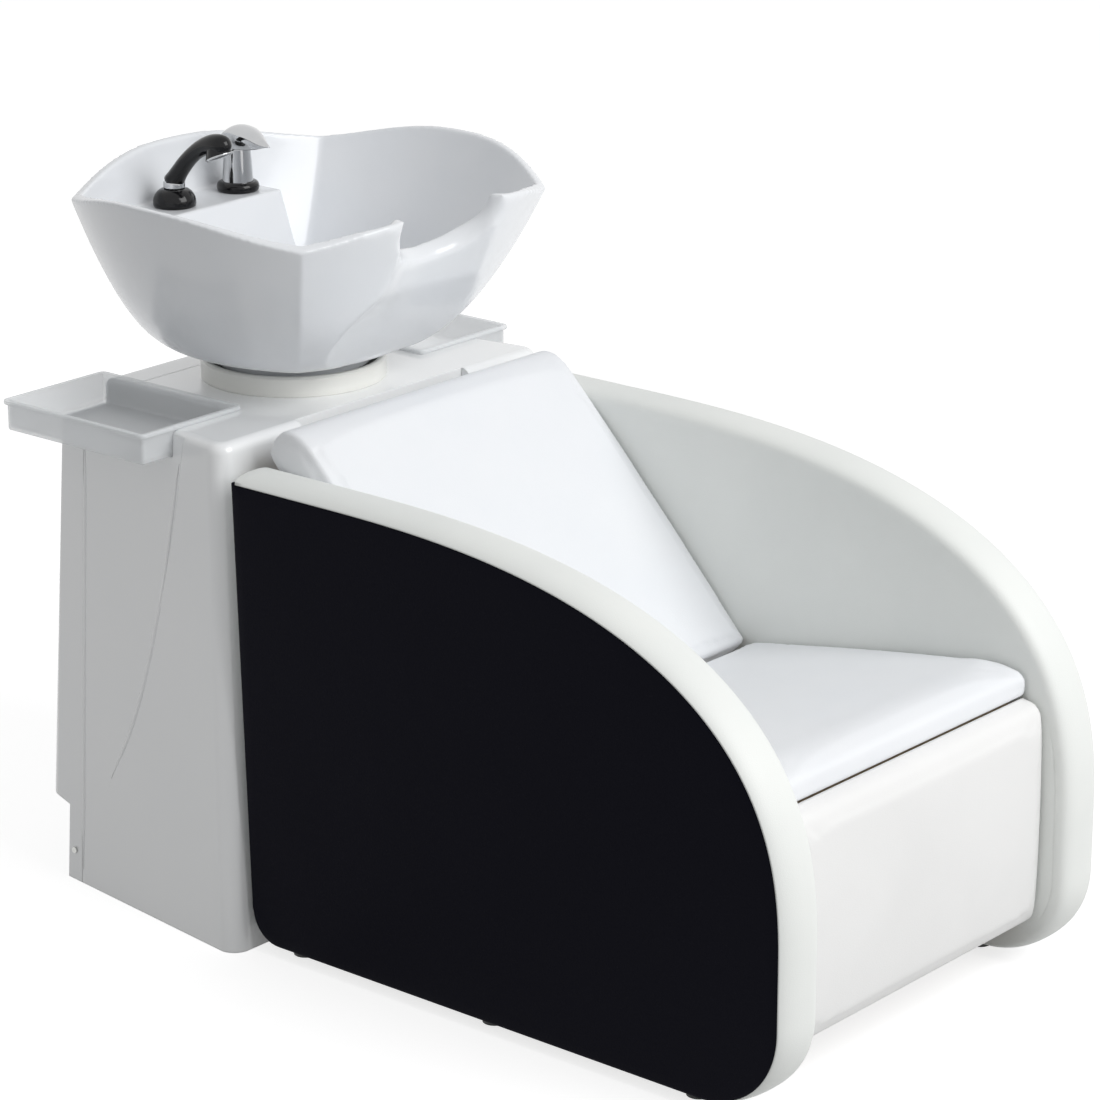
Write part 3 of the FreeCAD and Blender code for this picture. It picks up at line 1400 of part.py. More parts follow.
def cartridge_stem(axis):
    """Rocking stem on the pin, up into the lever."""
    ball = axis + UP * BALL_Z
    half = STEM_WIDTH / 2
    eye = rod(half, ball - ALONG_X * half, ball + ALONG_X * half)
    bar = box(ball.x - half, ball.x + half, ball.y - half, ball.y + half, ball.z, ball.z + STEM_RISE)
    stem = eye.fuse(bar).removeSplitter()
    hole = rod(LEVER_PIN_RADIUS + RUNNING_FIT, ball - ALONG_X * STEM_WIDTH, ball + ALONG_X * STEM_WIDTH)
    return stem.cut(hole)


def lever_section(axis, z, radius, reach, tip):
    """Leaf-shaped level section of the lever: round behind, drawn out to a tip in front."""
    def at(x, y):
        return V(axis.x + x, axis.y + y, z)

    rear_left = at(radius, -LEVER_SHOULDER)
    rear_right = at(-radius, -LEVER_SHOULDER)
    tip_left = at(tip, tip - reach)
    tip_right = at(-tip, tip - reach)
    swell = (radius + tip) / 2 * LEVER_SWELL
    half_way = (tip - reach - LEVER_SHOULDER) / 2
    return Part.Wire([
        arc(rear_right, at(0, radius), rear_left),
        arc(rear_left, at(swell, half_way), tip_left),
        arc(tip_left, at(0, -reach), tip_right),
        arc(tip_right, at(-swell, half_way), rear_right),
    ])


def mixer_lever(axis):
    """Beak-shaped lever with a ball socket below and a square hole for the stem."""
    low = BALL_Z + LEVER_SKIRT_RISE
    top = BALL_Z + LEVER_TOP_RISE
    shoulder = low + LEVER_TIP_THICKNESS
    lever = solid_between([
        lever_section(axis, low, LEVER_RADIUS, LEVER_REACH, LEVER_TIP_RADIUS),
        lever_section(axis, shoulder, LEVER_RADIUS, LEVER_REACH, LEVER_TIP_RADIUS),
        lever_section(axis, top, LEVER_CROWN_RADIUS, LEVER_CROWN_REACH, LEVER_TIP_RADIUS),
    ], ruled=True)
    ball = axis + UP * BALL_Z
    half = STEM_WIDTH / 2 + SLIP / 2
    socket = Part.makeSphere(MIXER_RADIUS + LEVER_GAP, ball)
    stem_hole = box(ball.x - half, ball.x + half, ball.y - half, ball.y + half, ball.z, ball.z + STEM_RISE)
    return cut_all(lever, [socket, stem_hole])


# Hand shower

def shower_dock(axis):
    """Black domed dock on the deck, with a tail through it and a socket for the handset."""
    gain = DOCK_RADIUS - DOCK_TOP_RADIUS
    profile = [(DOCK_BORE, DECK_Z - TAP_TAIL_LENGTH), (TAP_TAIL_RADIUS, DECK_Z - TAP_TAIL_LENGTH)]
    profile += [(TAP_TAIL_RADIUS, DECK_Z), (DOCK_FOOT_RADIUS, DECK_Z)]
    for index in range(1, DOCK_STEPS + 1):
        share = index / DOCK_STEPS
        radius = DOCK_TOP_RADIUS + gain * math.sqrt(1 - share ** 2)
        profile.append((radius, DECK_Z + DOCK_HEIGHT * share))
    profile.append((DOCK_BORE, DOCK_TOP))
    return turned(profile, axis.x, axis.y)


def shower_band(axis):
    """Chrome band at the handle's foot, with the spigot that sits in the dock."""
    spigot = DOCK_BORE - SLIP
    low = DOCK_TOP + TOUCH
    return turned([
        (0, DOCK_TOP - SPIGOT_LENGTH),
        (spigot, DOCK_TOP - SPIGOT_LENGTH),
        (spigot, low),
        (BAND_RADIUS, low),
        (BAND_RADIUS, BAND_TOP),
        (0, BAND_TOP),
    ], axis.x, axis.y)


def handle_frame(axis, share):
    """Place and heading along the handle: half a parabola that starts steep and ends level."""
    place = axis + V(0, -HANDLE_REACH * share, BAND_TOP + HANDLE_RISE * share * (2 - share))
    heading = V(0, -HANDLE_REACH, HANDLE_RISE * 2 * (1 - share))
    return place, heading.normalize()


def ring_wire(radius, centre, heading):
    circle = Part.Circle(centre, heading, radius)
    return Part.Wire(circle.toShape())


def handle_radius(share):
    """Full at the band, slim in the middle, full again at the head."""
    if share < 0.5:
        return BAND_RADIUS + (HANDLE_RADIUS - BAND_RADIUS) * math.sin(math.pi * share)
    return HANDLE_RADIUS + (HEAD_RADIUS - HANDLE_RADIUS) * math.sin(math.pi * (share - 0.5))


def spray_axis(axis):
    """Middle of the head, and the way the water leaves it: down and a little forward."""
    place, heading = handle_frame(axis, 1.0)
    return place - heading * SPRAY_SETBACK, V(0, -SPRAY_LEAN, -1).normalize()


def shower_handle(axis):
    """Black curved handle, swelling into the head."""
    steps = 8
    wires = [ring_wire(BAND_RADIUS, axis + UP * BAND_TOP, UP)]
    for index in range(1, steps + 1):
        share = index / steps
        place, heading = handle_frame(axis, share)
        wires.append(ring_wire(handle_radius(share), place, heading))
    handle = solid_between(wires)
    end, heading = handle_frame(axis, 1.0)
    head = Part.makeSphere(HEAD_RADIUS, end)
    nose = solid_between([
        ring_wire(HEAD_RADIUS, end, heading),
        ring_wire(HEAD_SHOULDER_RADIUS, end + heading * HEAD_SHOULDER, heading),
        ring_wire(HEAD_NOSE_RADIUS, end + heading * HEAD_LENGTH, heading),
    ], ruled=True)
    middle, out = spray_axis(axis)
    seat = middle + out * (HEAD_RADIUS - SPRAY_RING_SEAT)
    return handle.fuse(head).fuse(nose).cut(rod(SPRAY_RING_RADIUS, seat, seat + out * FAR))


def spray_ring(axis):
    middle, out = spray_axis(axis)
    start = middle + out * (HEAD_RADIUS - SPRAY_RING_SEAT)
    end = start + out * SPRAY_RING_HEIGHT
    return tube(SPRAY_RING_RADIUS, SPRAY_RING_RADIUS - SPRAY_RING_WALL, start, end)


def spray_plate(axis):
    """Perforated plate inside the spray ring."""
    middle, out = spray_axis(axis)
    start = middle + out * HEAD_RADIUS
    end = start + out * SPRAY_PLATE_THICKNESS
    radius = SPRAY_RING_RADIUS - SPRAY_RING_WALL
    plate = rod(radius, start, end)
    side = out.cross(ALONG_X)
    for index in range(SPRAY_HOLES):
        angle = 2 * math.pi * index / SPRAY_HOLES
        offset = (ALONG_X * math.cos(angle) + side * math.sin(angle)) * SPRAY_HOLE_RING
        plate = plate.cut(rod(SPRAY_HOLE_RADIUS, start + offset, end + offset))
    return plate


# The whole unit

def chair_pieces():
    left = {"arm_pad": arm_pad(), "arm_panel": arm_panel(), "arm_board": arm_board()}
    pieces = {}
    for name, shape in left.items():
        pieces["left_" + name] = shape
        pieces["right_" + name] = mirrored(shape)
    pieces["seat_cushion"] = seat_cushion()
    pieces["back_cushion"] = back_cushion()
    pieces["front_apron"] = front_apron()
    pieces["seat_board"] = seat_board()
    pieces["back_board"] = back_board()
    pieces["apron_board"] = apron_board()
    pieces.update(cross_rails())
    pieces["rail_bolts"] = rail_bolts()
    pieces["arm_glides"] = arm_glides()
    return pieces


def cabinet_pieces():
    rail = floor_rail()
    one_tray = tray()
    return {
        "cabinet_shell": cabinet_shell(),
        "rear_cover": rear_cover(),
        "cover_screws": cover_screws(),
        "basin_collar": basin_collar(),
        "left_tray": one_tray,
        "right_tray": mirrored(one_tray),
        "left_floor_rail": rail,
        "right_floor_rail": mirrored(rail),
        "pedestal_posts": pedestal_posts(),
        "pedestal_plate": pedestal_plate(),
        "tilt_hangers": tilt_hangers(),
        "tilt_pins": tilt_pins(),
        "pin_clips": pin_clips(),
        "friction_washers": friction_washers(),
    }


def basin_pieces():
    return {
        "basin": basin(),
        "basin_gasket": basin_gasket(),
        "basin_carrier": basin_carrier(),
        "tilt_bushes": tilt_bushes(),
        "waste_flange": waste_flange(),
        "hair_strainer": hair_strainer(),
        "waste_nut": waste_nut(),
        "bottle_trap": bottle_trap(),
        "trap_nut": trap_nut(),
    }


def tap_pieces():
    mixer, shower = tap_axes()
    return {
        "mixer_ring": mixer_ring(mixer),
        "mixer_body": mixer_body(mixer),
        "mixer_nut": deck_nut(mixer),
        "cartridge_rotor": cartridge_rotor(mixer),
        "lever_pin": lever_pin(mixer),
        "cartridge_stem": cartridge_stem(mixer),
        "mixer_lever": mixer_lever(mixer),
        "shower_dock": shower_dock(shower),
        "dock_nut": deck_nut(shower),
        "shower_band": shower_band(shower),
        "shower_handle": shower_handle(shower),
        "spray_ring": spray_ring(shower),
        "spray_plate": spray_plate(shower),
    }


def main():
    os.makedirs("parts", exist_ok=True)
    pieces = chair_pieces()
    pieces.update(cabinet_pieces())
    pieces.update(basin_pieces())
    pieces.update(tap_pieces())
    for name, shape in pieces.items():
        solids = shape.Solids
        shape = solids[0] if len(solids) == 1 else Part.makeCompound(solids)
        print(name, "solids", len(solids), "valid", shape.isValid(), "litres", round(shape.Volume / 1e6, 4))
        shape.exportStep("parts/" + name + ".step")


main()
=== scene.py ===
# %% [markdown]
# A salon backwash unit is a reclined wash chair joined to a plinth with a ceramic basin. The CAD model
# gives every piece its place and size in metres, so it is loaded first and never moved. This lesson
# then dresses it: soft pieces are blown up as cloth, curved pieces are skinned through rings, and every
# surface gets a finish made of shader nodes.

# %% Load the CAD frame
import bisect
import bmesh
import bpy
import json
import math
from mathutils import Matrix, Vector


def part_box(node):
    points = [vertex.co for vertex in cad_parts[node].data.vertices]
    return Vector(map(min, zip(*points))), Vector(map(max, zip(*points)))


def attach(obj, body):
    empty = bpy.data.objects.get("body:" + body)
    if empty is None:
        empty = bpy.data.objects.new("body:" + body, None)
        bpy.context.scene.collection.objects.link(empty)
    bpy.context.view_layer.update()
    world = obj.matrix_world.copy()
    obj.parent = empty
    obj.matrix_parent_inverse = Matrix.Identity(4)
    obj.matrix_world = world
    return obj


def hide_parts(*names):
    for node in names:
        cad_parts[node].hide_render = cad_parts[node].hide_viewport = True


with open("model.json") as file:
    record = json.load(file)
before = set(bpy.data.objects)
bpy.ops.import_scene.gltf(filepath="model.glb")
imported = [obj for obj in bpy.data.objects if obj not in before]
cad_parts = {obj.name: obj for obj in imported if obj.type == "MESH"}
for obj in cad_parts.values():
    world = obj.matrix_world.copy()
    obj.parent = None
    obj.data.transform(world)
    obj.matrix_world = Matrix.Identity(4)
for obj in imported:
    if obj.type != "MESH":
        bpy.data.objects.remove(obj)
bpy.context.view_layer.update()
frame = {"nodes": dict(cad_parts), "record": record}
nodes = frame["nodes"]
record = frame["record"]
scene = bpy.context.scene
scene.view_settings.view_transform = "Standard"

# %% [markdown]
# The picture was taken from the front right of the sitter, a little above the basin. A camera could be
# set by eye, but small errors show along every long edge. So the place and the lens below were worked
# out from the edges of the real unit, and the picture needs no shift.

# %% The camera
CAMERA_PLACE = (-3.926, -3.771, 2.207)
CAMERA_AZIMUTH = -49.853        # degrees, as the elevation
CAMERA_ELEVATION = 18.157
CAMERA_LENS = 134.44            # millimetres, for a sensor 36 wide

camera_data = bpy.data.cameras.new("camera")
camera_data.lens = CAMERA_LENS
camera = bpy.data.objects.new("camera", camera_data)
camera.location = CAMERA_PLACE
camera.rotation_euler = (math.radians(90 - CAMERA_ELEVATION), 0, math.radians(CAMERA_AZIMUTH))
scene.collection.objects.link(camera)
scene.camera = camera
print("camera at", [round(value, 2) for value in camera.location])

# %% [markdown]
# A finish is a tree of shader nodes, and arithmetic between nodes is easier to read as Python. A Wire
# holds one output socket, and sums or products of wires add Math nodes. Every other node comes from
# one method: its type, its settings, and then what goes into its sockets.

# %% Wires and finishes


class Wire:
    """One output socket of a finish. Arithmetic on wires adds Math nodes."""

    def __init__(self, finish, socket):
        self.finish = finish
        self.socket = socket

    def output(self, name):
        """Another output of the same node."""
        return Wire(self.finish, self.socket.node.outputs[name])

    def math(self, operation, other):
        """A Math node for this wire and another wire or a number."""
        return self.finish.node("ShaderNodeMath", {"operation": operation}, {0: self, 1: other})

    def __add__(self, other):
        return self.math("ADD", other)

    def __mul__(self, other):
        return self.math("MULTIPLY", other)

    __radd__ = __add__
    __rmul__ = __mul__


class Finish:
    """The shader nodes of a material or of the world, emptied and ready to be wired."""

    def __init__(self, owner):
        owner.use_nodes = True
        self.owner = owner
        self.tree = owner.node_tree
        self.tree.nodes.clear()

    def node(self, kind, settings=None, sockets=None, output=0):
        """Adds a node of a type: settings first, then values or wires for its sockets."""
        made = self.tree.nodes.new(kind)
        for name, value in (settings or {}).items():
            setattr(made, name, value)
        for key, value in (sockets or {}).items():
            socket = made.inputs[key]
            if isinstance(value, Wire):
                self.tree.links.new(value.socket, socket)
            elif socket.type == "RGBA":
                socket.default_value = (*value, 1)
            else:
                socket.default_value = value
        return Wire(self, made.outputs[output]) if made.outputs else None

    def place(self):
        """The point on the piece, in metres in the unit's frame."""
        return self.node("ShaderNodeTexCoord", output="Object")

    def stretched(self, scale):
        """The same point, with each axis scaled."""
        return self.node("ShaderNodeMapping", None, {"Vector": self.place(), "Scale": scale})

    def noise(self, size, detail, scale=None):
        """Smooth noise from 0 to 1, with patches about as large as the size in metres."""
        vector = self.stretched(scale) if scale else self.place()
        sockets = {"Vector": vector, "Scale": 1 / size, "Detail": detail}
        return self.node("ShaderNodeTexNoise", None, sockets)

    def cells(self, size):
        """Distance to the nearest of many points, about a size apart."""
        return self.node("ShaderNodeTexVoronoi", None, {"Vector": self.place(), "Scale": 1 / size})

    def between(self, share, first, second):
        """A colour between two others. Mix has sockets of the same name, so they go by number."""
        sockets = {0: share, 6: first, 7: second}
        return self.node("ShaderNodeMix", {"data_type": "RGBA"}, sockets, output=2)

    def contrast(self, value, low, high):
        """A value stretched so that low becomes 0 and high becomes 1."""
        sockets = {"Value": value, "From Min": low, "From Max": high}
        return self.node("ShaderNodeMapRange", None, sockets)

    def rounded(self, radius, rays=6):
        """Normals bent over edges, as if each were rounded by a radius."""
        return self.node("ShaderNodeBevel", {"samples": rays}, {"Radius": radius})

    def relief(self, height, depth, under=None):
        """Normals of a surface raised by a height from 0 to 1, times a depth in metres."""
        sockets = {"Height": height, "Distance": depth}
        if under:
            sockets["Normal"] = under
        return self.node("ShaderNodeBump", None, sockets)

    def surface(self, **sockets):
        """The shader itself. A socket's name is written with _ for its spaces."""
        named = {name.replace("_", " "): value for name, value in sockets.items()}
        shader = self.node("ShaderNodeBsdfPrincipled", None, named)
        self.node("ShaderNodeOutputMaterial", None, {"Surface": shader})
        return self.owner


def new_finish(name):
    return Finish(bpy.data.materials.new(name))


print("finish tools ready")

# %% [markdown]
# The studio is white: a pale sky gives soft light from everywhere, and one large lamp in front of the
# chair lights the back and the basin's front more than their sides. More sky would make the picture as
# white, but it would wash out the white unit too. So Light Path makes the sky plain white for the
# camera and for reflections only, while the light that it gives stays lower.

# %% Studio light
SKY_LIGHT = 0.45
LAMP_PLACE = Vector((0.6, -4.2, 3.4))
LAMP_AIM = Vector((0, -0.45, 0.45))
LAMP_SIZE = 3.0
LAMP_POWER = 146.0


def seen_directly(finish):
    """1 for camera, mirror and glass rays, 0 for the rays that carry light."""
    path = finish.node("ShaderNodeLightPath", output="Is Camera Ray")
    seen = path + path.output("Is Glossy Ray") + path.output("Is Transmission Ray")
    return seen.math("MINIMUM", 1.0)


scene.world = bpy.data.worlds.new("studio")
studio = Finish(scene.world)
sky = studio.node("ShaderNodeBackground", None, {
    "Color": (1, 1, 1),
    "Strength": SKY_LIGHT + (1 - SKY_LIGHT) * seen_directly(studio),
})
studio.node("ShaderNodeOutputWorld", None, {"Surface": sky})

lamp_data = bpy.data.lights.new("lamp", "AREA")
lamp_data.size = LAMP_SIZE
lamp_data.energy = LAMP_POWER
lamp = bpy.data.objects.new("lamp", lamp_data)
lamp.location = LAMP_PLACE
lamp.rotation_euler = (LAMP_AIM - LAMP_PLACE).to_track_quat("-Z", "Y").to_euler()
scene.collection.objects.link(lamp)
print("lamp", LAMP_POWER, "W, sky", SKY_LIGHT)

# %% [markdown]
# The floor is a wide grey sheet, which throws less light up at the unit than a white one would. For the
# camera and in reflections it also glows, so that it fades into the white sky and still shows the soft
# shadow under the unit.

# %% Floor
FLOOR_HALF = 9.0
FLOOR_COLOUR = (0.55, 0.55, 0.55)
FLOOR_GLOW = 0.74

floor_mesh = bpy.data.meshes.new("floor")
corners = [(x * FLOOR_HALF, y * FLOOR_HALF, 0) for x, y in ((-1, -1), (1, -1), (1, 1), (-1, 1))]
floor_mesh.from_pydata(corners, [], [(0, 1, 2, 3)])
floor = bpy.data.objects.new("floor", floor_mesh)
scene.collection.objects.link(floor)

paper = new_finish("floor_paper")
sheet = paper.node("ShaderNodeBsdfDiffuse", None, {"Color": FLOOR_COLOUR})
glow = paper.node("ShaderNodeEmission", None, {"Strength": FLOOR_GLOW * seen_directly(paper)})
both = paper.node("ShaderNodeAddShader", None, {0: sheet, 1: glow})
paper.node("ShaderNodeOutputMaterial", None, {"Surface": both})
floor_mesh.materials.append(paper.owner)
print("floor", FLOOR_HALF * 2, "m wide")

# %% [markdown]
# The chair is covered in vinyl on foam. Vinyl has a fine pebbled grain, a satin shine that is uneven
# where hands and cloths have polished it, and slow waves where the foam under it gives. The black
# panels are the same stuff with a coarser grain and almost no shine. A picture of leather would have to
# be wrapped round each cushion, while noise by place needs no unwrapping.

# %% Vinyl finishes


def vinyl(name, colour, deep, roughness, shine, grain, depth):
    """Upholstery vinyl: pebbled grain, uneven shine, and a slightly deeper tone in patches."""
    finish = new_finish(name)
    pebbles = finish.cells(grain)
    patches = finish.noise(size=0.16, detail=3.0)
    waves = finish.noise(size=0.07, detail=1.0)
    return finish.surface(
        Base_Color=finish.between(finish.contrast(patches, low=0.35, high=0.7), colour, deep),
        Roughness=roughness + 0.12 * patches + 0.06 * pebbles,
        Specular_IOR_Level=shine,
        Normal=finish.relief(pebbles + 3.0 * waves, depth),
    )


VINYLS = {
    # finish: colour, deeper colour, roughness, shine, size and depth of the grain
    "white_vinyl": ((0.85, 0.868, 0.845), (0.82, 0.84, 0.82), 0.40, 0.40, 0.0016, 0.0001),
    "seat_vinyl": ((0.86, 0.875, 0.90), (0.835, 0.855, 0.885), 0.36, 0.45, 0.0016, 0.0001),
    "apron_vinyl": ((0.86, 0.86, 0.855), (0.835, 0.835, 0.83), 0.34, 0.45, 0.0016, 0.0001),
    "black_vinyl": ((0.004, 0.004, 0.008), (0.005, 0.005, 0.009), 0.55, 0.05, 0.0022, 0.0002),
}
FINISHES = {name: vinyl(name, *look) for name, look in VINYLS.items()}
print("vinyl:", sorted(FINISHES))

# %% [markdown]
# The plinth, its collar and the waste fittings are moulded plastic. Gloss mouldings are never quite
# flat, so a slow ripple bends their reflections. Every edge of a mould is a little rounded, and a Bevel
# node bends the normals there, which is simpler than a fillet on each edge of the mesh.

# %% Moulded finishes


def moulding(name, colour, deep, roughness, coat, edge, ripple=0.0004, shine=0.5):
    """Moulded plastic: rounded edges, a slow ripple, and fine dust that dulls the shine in places."""
    finish = new_finish(name)
    patches = finish.noise(size=0.22, detail=2.0)
    dust = finish.noise(size=0.004, detail=4.0)
    waves = finish.noise(size=0.09, detail=1.0)
    return finish.surface(
        Base_Color=finish.between(finish.contrast(patches, low=0.3, high=0.75), colour, deep),
        Roughness=roughness + 0.05 * dust,
        Specular_IOR_Level=shine,
        Coat_Weight=coat,
        Coat_Roughness=0.04,
        Normal=finish.relief(waves, ripple, finish.rounded(edge)),
    )


MOULDINGS = {
    # finish: colour, deeper colour, roughness, coat, radius of its edges, and at times ripple and shine
    "cabinet_gloss": ((0.92, 0.93, 0.935), (0.895, 0.91, 0.92), 0.22, 0.7, 0.004),
    "collar_ivory": ((0.86, 0.86, 0.82), (0.83, 0.83, 0.79), 0.3, 0.3, 0.003),
    "waste_plastic": ((0.83, 0.83, 0.82), (0.8, 0.8, 0.79), 0.3, 0.1, 0.001),
    "black_gloss": ((0.004, 0.004, 0.005), (0.006, 0.006, 0.007), 0.1, 0.1, 0.0012, 0.0001, 0.25),
    "black_plastic": ((0.018, 0.018, 0.018), (0.024, 0.024, 0.024), 0.5, 0.0, 0.0006),
    "nylon": ((0.8, 0.79, 0.74), (0.76, 0.75, 0.69), 0.42, 0.0, 0.0005),
    "seal_rubber": ((0.028, 0.028, 0.028), (0.036, 0.036, 0.036), 0.7, 0.0, 0.0006),
}
for name, look in MOULDINGS.items():
    FINISHES[name] = moulding(name, *look)
print("moulded:", len(FINISHES), "finishes so far")

# %% [markdown]
# The basin's glaze is poured on and melted, so it is smooth but never flat. A thin clear coat over a
# white body gives the shine, and two ripples of different size make it wander. They are a bump, because
# they are too slight to show in the outline.

# %% Glaze
glaze = new_finish("ceramic_white")
body_tone = glaze.contrast(glaze.noise(size=0.12, detail=2.0), low=0.35, high=0.7)
pooling = glaze.noise(size=0.05, detail=2.0)
pinholes = glaze.noise(size=0.006, detail=2.0)
FINISHES["ceramic_white"] = glaze.surface(
    Base_Color=glaze.between(body_tone, (0.848, 0.866, 0.893), (0.825, 0.848, 0.88)),
    Roughness=0.2 + 0.08 * pooling,
    Coat_Weight=0.25,
    Coat_Roughness=0.05,
    Normal=glaze.relief(pooling + 0.15 * pinholes, depth=0.0004),
)
print("glaze ready")

# %% [markdown]
# The trays are frosted clear plastic. Glass with a volume would be truer, but it is slow and grainy. The
# plastic is thin, so it is drawn as a pale skin that lets a part of the light straight through, and its
# surface is just rough enough to blur what it mirrors.

# %% Frosted plastic
frosted = new_finish("tray_frosted")
frost = frosted.noise(size=0.0012, detail=3.0)
clouds = frosted.noise(size=0.06, detail=2.0)
FINISHES["tray_frosted"] = frosted.surface(
    Base_Color=frosted.between(clouds, (0.95, 0.97, 0.985), (0.93, 0.955, 0.975)),
    Roughness=0.28 + 0.12 * frost,
    Alpha=0.5,
    Normal=frosted.relief(frost, depth=0.00005),
)
print("frosted plastic ready")

# %% [markdown]
# Metals differ in colour and in how much their fine scratches spread the shine. Plated steel is
# mottled, while powder coat is a paint with an orange-peel skin, so it gets a finish of its own.

# %% Metal finishes


def metal(name, colour, deep, roughness, spread, edge):
    """Bare or plated metal: a mottled tone, and scratches that spread the shine unevenly."""
    finish = new_finish(name)
    mottle = finish.noise(size=0.012, detail=3.0)
    scratches = finish.noise(size=0.003, detail=4.0)
    return finish.surface(
        Base_Color=finish.between(finish.contrast(mottle, low=0.3, high=0.7), colour, deep),
        Metallic=1.0,
        Roughness=roughness + spread * scratches,
        Normal=finish.relief(scratches, 0.00002, finish.rounded(edge)),
    )


METALS = {
    # finish: colour, deeper colour, roughness, spread of the shine, radius of its edges
    "chrome": ((0.55, 0.556, 0.565), (0.525, 0.53, 0.54), 0.04, 0.05, 0.0008),
    "zinc_steel": ((0.62, 0.62, 0.6), (0.54, 0.55, 0.53), 0.28, 0.2, 0.0005),
    "brass": ((0.7, 0.52, 0.25), (0.62, 0.44, 0.2), 0.25, 0.15, 0.0006),
    "bronze": ((0.55, 0.38, 0.18), (0.46, 0.31, 0.14), 0.4, 0.2, 0.0005),
}
for name, look in METALS.items():
    FINISHES[name] = metal(name, *look)

powder = new_finish("frame_steel")
peel = powder.noise(size=0.0018, detail=2.0)
shade = powder.noise(size=0.05, detail=3.0)
FINISHES["frame_steel"] = powder.surface(
    Base_Color=powder.between(shade, (0.055, 0.055, 0.06), (0.07, 0.07, 0.074)),
    Roughness=0.38 + 0.2 * peel,
    Normal=powder.relief(peel, 0.0001, powder.rounded(0.0012)),
)
print("metals ready:", len(FINISHES), "finishes so far")

# %% [markdown]
# Boards and rails hide inside the chair, but the unit is also seen from below. Softwood shows long
# streaks, and a plywood edge shows its layers, so both are waves along one direction bent by noise.

# %% Wood finishes


def wood(name, light, dark, ring, grain):
    """Sawn wood: bands of early and late growth, and pores drawn out along the grain."""
    finish = new_finish(name)
    wander = finish.noise(size=0.2, detail=3.0, scale=grain)
    pores = finish.noise(size=0.004, detail=4.0, scale=grain)
    sockets = {"Vector": finish.stretched(grain), "Scale": 1 / ring, "Distortion": 2.5, "Detail": 2.0}
    bands = finish.node("ShaderNodeTexWave", None, sockets, output="Fac")
    return finish.surface(
        Base_Color=finish.between(0.55 * bands + 0.45 * wander, light, dark),
        Roughness=0.6 + 0.2 * pores,
        Normal=finish.relief(pores, depth=0.0002),
    )


WOODS = {
    # finish: light and dark colour, width of a band, stretch of the grain
    "plywood": ((0.66, 0.51, 0.34), (0.5, 0.36, 0.22), 0.09, (1, 0.15, 1)),
    "timber": ((0.72, 0.57, 0.39), (0.56, 0.41, 0.25), 0.05, (0.08, 1, 1)),
}
for name, look in WOODS.items():
    FINISHES[name] = wood(name, *look)
print("wood:", sorted(WOODS))

# %% [markdown]
# The record names a material slot for each CAD node, and each slot has its finish by now. All nodes are
# dressed at once. Those whose solid is too plain are replaced further on, and the rest stay as they are.

# %% Dress the CAD nodes
for part in record["subparts"]:
    shown = nodes[part["node"]]
    shown.data.materials.clear()
    shown.data.materials.append(FINISHES[part["material_slot"]])
print("dressed", len(record["subparts"]), "CAD nodes in", len(FINISHES), "finishes")

# %% [markdown]
# Most curved pieces are made the same way: closed rings of points, each with as many points as the
# next, are joined by a skin of quads. The ends are closed with one flat face each. A mesh under
# subdivision could give the same forms, but rings go exactly through the measured points.

# %% Skins through rings
TURN_STEPS = 56                 # points round a turned piece


def skin(name, rings, loop=False):
    """A smooth closed mesh through rings of points. A loop joins its last ring to its first."""
    count = len(rings[0])
    last = len(rings) - 1
    ends = [tuple(reversed(range(count))), tuple(range(last * count, (last + 1) * count))]
    faces = [] if loop else ends
    for row in range(len(rings) if loop else last):
        start = row * count
        following = (row + 1) % len(rings) * count
        for index in range(count):
            after = (index + 1) % count
            faces.append((start + index, start + after, following + after, following + index))
    mesh = bpy.data.meshes.new(name)
    mesh.from_pydata([point for ring in rings for point in ring], [], faces)
    tidy = bmesh.new()
    tidy.from_mesh(mesh)
    bmesh.ops.recalc_face_normals(tidy, faces=tidy.faces)
    tidy.to_mesh(mesh)
    tidy.free()
    mesh.shade_smooth()
    piece = bpy.data.objects.new(name, mesh)
    scene.collection.objects.link(piece)
    return piece


def full_turn(count):
    """Evenly spaced angles all the way round."""
    return [2 * math.pi * index / count for index in range(count)]


def turned(name, x, y, profile, loop=False):
    """A piece turned about an upright axis, from (radius, z) in metres."""
    angles = full_turn(TURN_STEPS)
    rings = [[(x + r * math.cos(a), y + r * math.sin(a), z) for a in angles] for r, z in profile]
    return skin(name, rings, loop)


def smooth_through(table, place):
    """The value at a place on a smooth curve through (place, value) pairs."""
    places = [pair[0] for pair in table]
    index = max(0, min(bisect.bisect_right(places, place) - 1, len(table) - 2))

    def slope(i):
        before, after = table[max(i - 1, 0)], table[min(i + 1, len(table) - 1)]
        return (after[1] - before[1]) / (after[0] - before[0])

    (p0, v0), (p1, v1) = table[index], table[index + 1]
    width = p1 - p0
    t = min(max((place - p0) / width, 0.0), 1.0)
    start_pull = slope(index) * width * t * (1 - t) ** 2
    end_pull = slope(index + 1) * width * t * t * (t - 1)
    return v0 + (v1 - v0) * t * t * (3 - 2 * t) + start_pull + end_pull


print("skins ready, with", TURN_STEPS, "points round a turned piece")

# %% [markdown]
# A finished piece has only a mesh, a finish and a body that it moves with. Modifiers are made part of
# the mesh first, so that the piece is the same wherever it goes.

# %% Finish a piece
CHAIR = "chair_and_plinth"


def settle(piece):
    """Makes a piece's modifiers part of its mesh."""
    graph = bpy.context.evaluated_depsgraph_get()
    made = bpy.data.meshes.new_from_object(piece.evaluated_get(graph))
    old = piece.data
    piece.modifiers.clear()
    piece.data = made
    made.name = piece.name
    bpy.data.meshes.remove(old)


